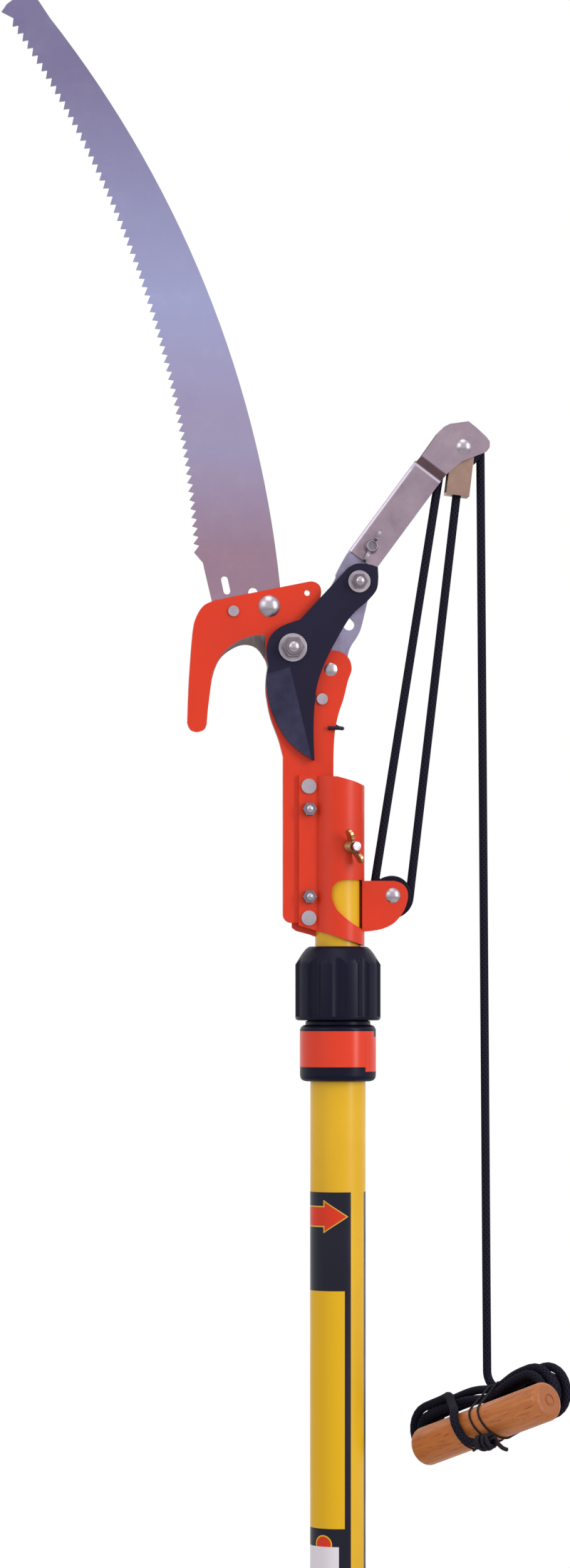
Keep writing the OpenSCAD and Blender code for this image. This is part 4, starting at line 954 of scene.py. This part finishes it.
def shell(name, radius, low, high, turn_from, turn_to, finish):
    """Film round the pole between two heights and two angles, counted from the front to the right."""
    clear()
    bpy.ops.mesh.primitive_circle_add(vertices=FILM_STEPS, radius=radius * MM, location=(0, 0, 0))
    piece = bpy.context.object
    piece.name = name
    deselect_points()
    for v in piece.data.vertices:
        turn = math.degrees(math.atan2(v.co.x, -v.co.y))
        while turn < turn_from - TURN_SLACK:
            turn += 360
        v.select = turn > turn_to + TURN_SLACK
    bpy.ops.object.mode_set(mode="EDIT")
    bpy.ops.mesh.delete(type="VERT")
    bpy.ops.mesh.select_all(action="SELECT")
    bpy.ops.transform.translate(value=(0, 0, COLLAR_Z + low * MM))
    bpy.ops.mesh.extrude_region_move(TRANSFORM_OT_translate={"value": (0, 0, (high - low) * MM)})
    bpy.ops.mesh.select_all(action="SELECT")
    bpy.ops.mesh.normals_make_consistent(inside=False)
    bpy.ops.object.mode_set(mode="OBJECT")
    film = piece.modifiers.new("film", "SOLIDIFY")
    film.thickness = FILM_THICK * MM
    film.offset = 0
    bpy.ops.object.modifier_apply(modifier="film")
    bpy.ops.object.shade_smooth_by_angle(angle=FILM_SMOOTH)
    piece.data.materials.append(finish.mat)
    return finished(piece, "lower_pole")


STICKER = coated("collar_film", (0.70, 0.040, 0.012), (0.66, 0.036, 0.010), (0.62, 0.06, 0.03), 0.24, 0.34,
                 peel=0.03, Specular_IOR_Level=0.3)
shell("collar_sticker", 22.04, 8.3, 29.0, -250, 63, STICKER)
shell("collar_sticker_end", 22.14, 5.7, 25.8, 39, 73.5, STICKER)

# The pole's label in millimetres: round the pole from the front, and above the collar's lower edge.
POLE_R = 16.0
ARROW_Z = -77.7
ARROW_HALF = 5.4
ARROW_NECK = -9.0
ARROW_TIP = 3.2
ARROW_SLOPE = 0.65
ARROW_LINE = 0.7
ARROW_BARB = 0.9
PANEL = (-40.0, 2.1, -257.3, -120.6)
PATCH = (-32.0, -1.3, -340.0, -267.7)
DISC_AT = (-10.8, -266.6)
DISC_R = 4.8
DISC_LINE_R = 5.6
INK_YELLOW = (0.72, 0.41, 0.010)
INK_RED = (0.64, 0.036, 0.012)
INK_LINE = (0.62, 0.42, 0.05)
INK_PALE = (0.72, 0.66, 0.72)


def make_label():
    """Film with a dark ground, a plain panel, an arrow and a disc, placed by angle and height."""
    f = Finish("pole_film", Specular_IOR_Level=0.2)
    t = f.tree
    x, y, z = axes(t, object_place(t))
    wide = times(t, maths(t, "ARCTAN2", x, times(t, y, -1.0)), POLE_R)
    high = times(t, maths(t, "SUBTRACT", z, COLLAR_Z), 1000.0)

    def less(a, b):
        return maths(t, "LESS_THAN", a, b)

    def arrow(grow):
        rise = maths(t, "ABSOLUTE", maths(t, "SUBTRACT", high, ARROW_Z))
        shaft = times(t, less(rise, ARROW_HALF + grow), less(wide, ARROW_NECK))
        slope = times(t, maths(t, "SUBTRACT", ARROW_TIP + 1.5 * grow, wide), ARROW_SLOPE)
        head = times(t, less(rise, slope), less(ARROW_NECK - ARROW_BARB - grow, wide))
        return maths(t, "MAXIMUM", shaft, head)

    def disc(radius):
        return less(distance(t, wide, high, DISC_AT), radius)

    def field(left, right, low, top):
        return times(t, less(wide, right), less(left, wide), less(high, top), less(low, high))

    skin = f.effect(SKIN, Fine=700.0, Broad=30.0)
    ink = f.mix(skin.outputs["Cloud"], (0.007, 0.007, 0.018), (0.010, 0.010, 0.024))
    for mask, colour in ((field(*PANEL), INK_YELLOW), (arrow(ARROW_LINE), INK_LINE), (arrow(0.0), INK_RED),
                         (disc(DISC_LINE_R), INK_YELLOW), (disc(DISC_R), INK_RED),
                         (field(*PATCH), INK_PALE)):
        ink = f.mix(mask, ink, colour)
    f.base(ink)
    f.rough(skin.outputs["Cloud"], 0.24, 0.34)
    f.bump(skin.outputs["Peel"], 0.03, 0.0003)
    return f


shell("pole_label", 16.05, -330, -63.7, 61.5, 381, make_label())

# Stage: pale floor, white surroundings and soft lamps.
FLOOR_Z = -0.002
LAMP_AIM = Vector((0, 0, 1.65))
clear()
bpy.ops.mesh.primitive_plane_add(size=16, location=(0, 0, FLOOR_Z))
floor = bpy.context.object
floor.name = "floor"
pale = coated("floor_pale", (0.86, 0.86, 0.86), (0.84, 0.84, 0.84), (0.82, 0.82, 0.82), 0.8, 0.9, peel=0.0)
floor.data.materials.append(pale.mat)


def lamp(name, azimuth, elevation, far, size, power, colour=(1, 1, 1)):
    """A soft lamp that looks at the head from an angle and a distance."""
    data = bpy.data.lights.new(name, "AREA")
    data.shape = "RECTANGLE"
    data.size, data.size_y = size
    data.energy = power
    data.color = colour
    light = bpy.data.objects.new(name, data)
    bpy.context.scene.collection.objects.link(light)
    a, e = math.radians(azimuth), math.radians(elevation)
    way = Vector((math.sin(a) * math.cos(e), -math.cos(a) * math.cos(e), math.sin(e)))
    light.location = LAMP_AIM + far * way
    light.rotation_euler = (LAMP_AIM - light.location).to_track_quat("-Z", "Y").to_euler()


lamp("key", 50, 16, 2.6, (0.5, 1.8), 36)
lamp("fill", -52, 24, 3.0, (1.6, 1.8), 20, (1.0, 0.97, 0.98))
lamp("top", -10, 70, 2.6, (1.6, 1.6), 16)

# The surroundings are white to the eye and in reflections, and dimmer as a light.
WHITE_SEEN = 1.0
WHITE_LIGHT = 0.58
world = bpy.data.worlds.new("white_room")
bpy.context.scene.world = world
world.use_nodes = True
wt = world.node_tree
wt.nodes.clear()
rays = wt.nodes.new("ShaderNodeLightPath").outputs
seen = maths(wt, "MAXIMUM", maths(wt, "MAXIMUM", rays["Is Camera Ray"], rays["Is Glossy Ray"]),
             rays["Is Transmission Ray"])
blend = wt.nodes.new("ShaderNodeMixShader")
wt.links.new(seen, blend.inputs[0])
for i, strength in ((1, WHITE_LIGHT), (2, WHITE_SEEN)):
    white = wt.nodes.new("ShaderNodeBackground")
    white.inputs["Color"].default_value = (1, 1, 1, 1)
    white.inputs["Strength"].default_value = strength
    wt.links.new(white.outputs[0], blend.inputs[i])
out = wt.nodes.new("ShaderNodeOutputWorld")
wt.links.new(blend.outputs[0], out.inputs["Surface"])
bpy.context.scene.view_settings.view_transform = "Standard"
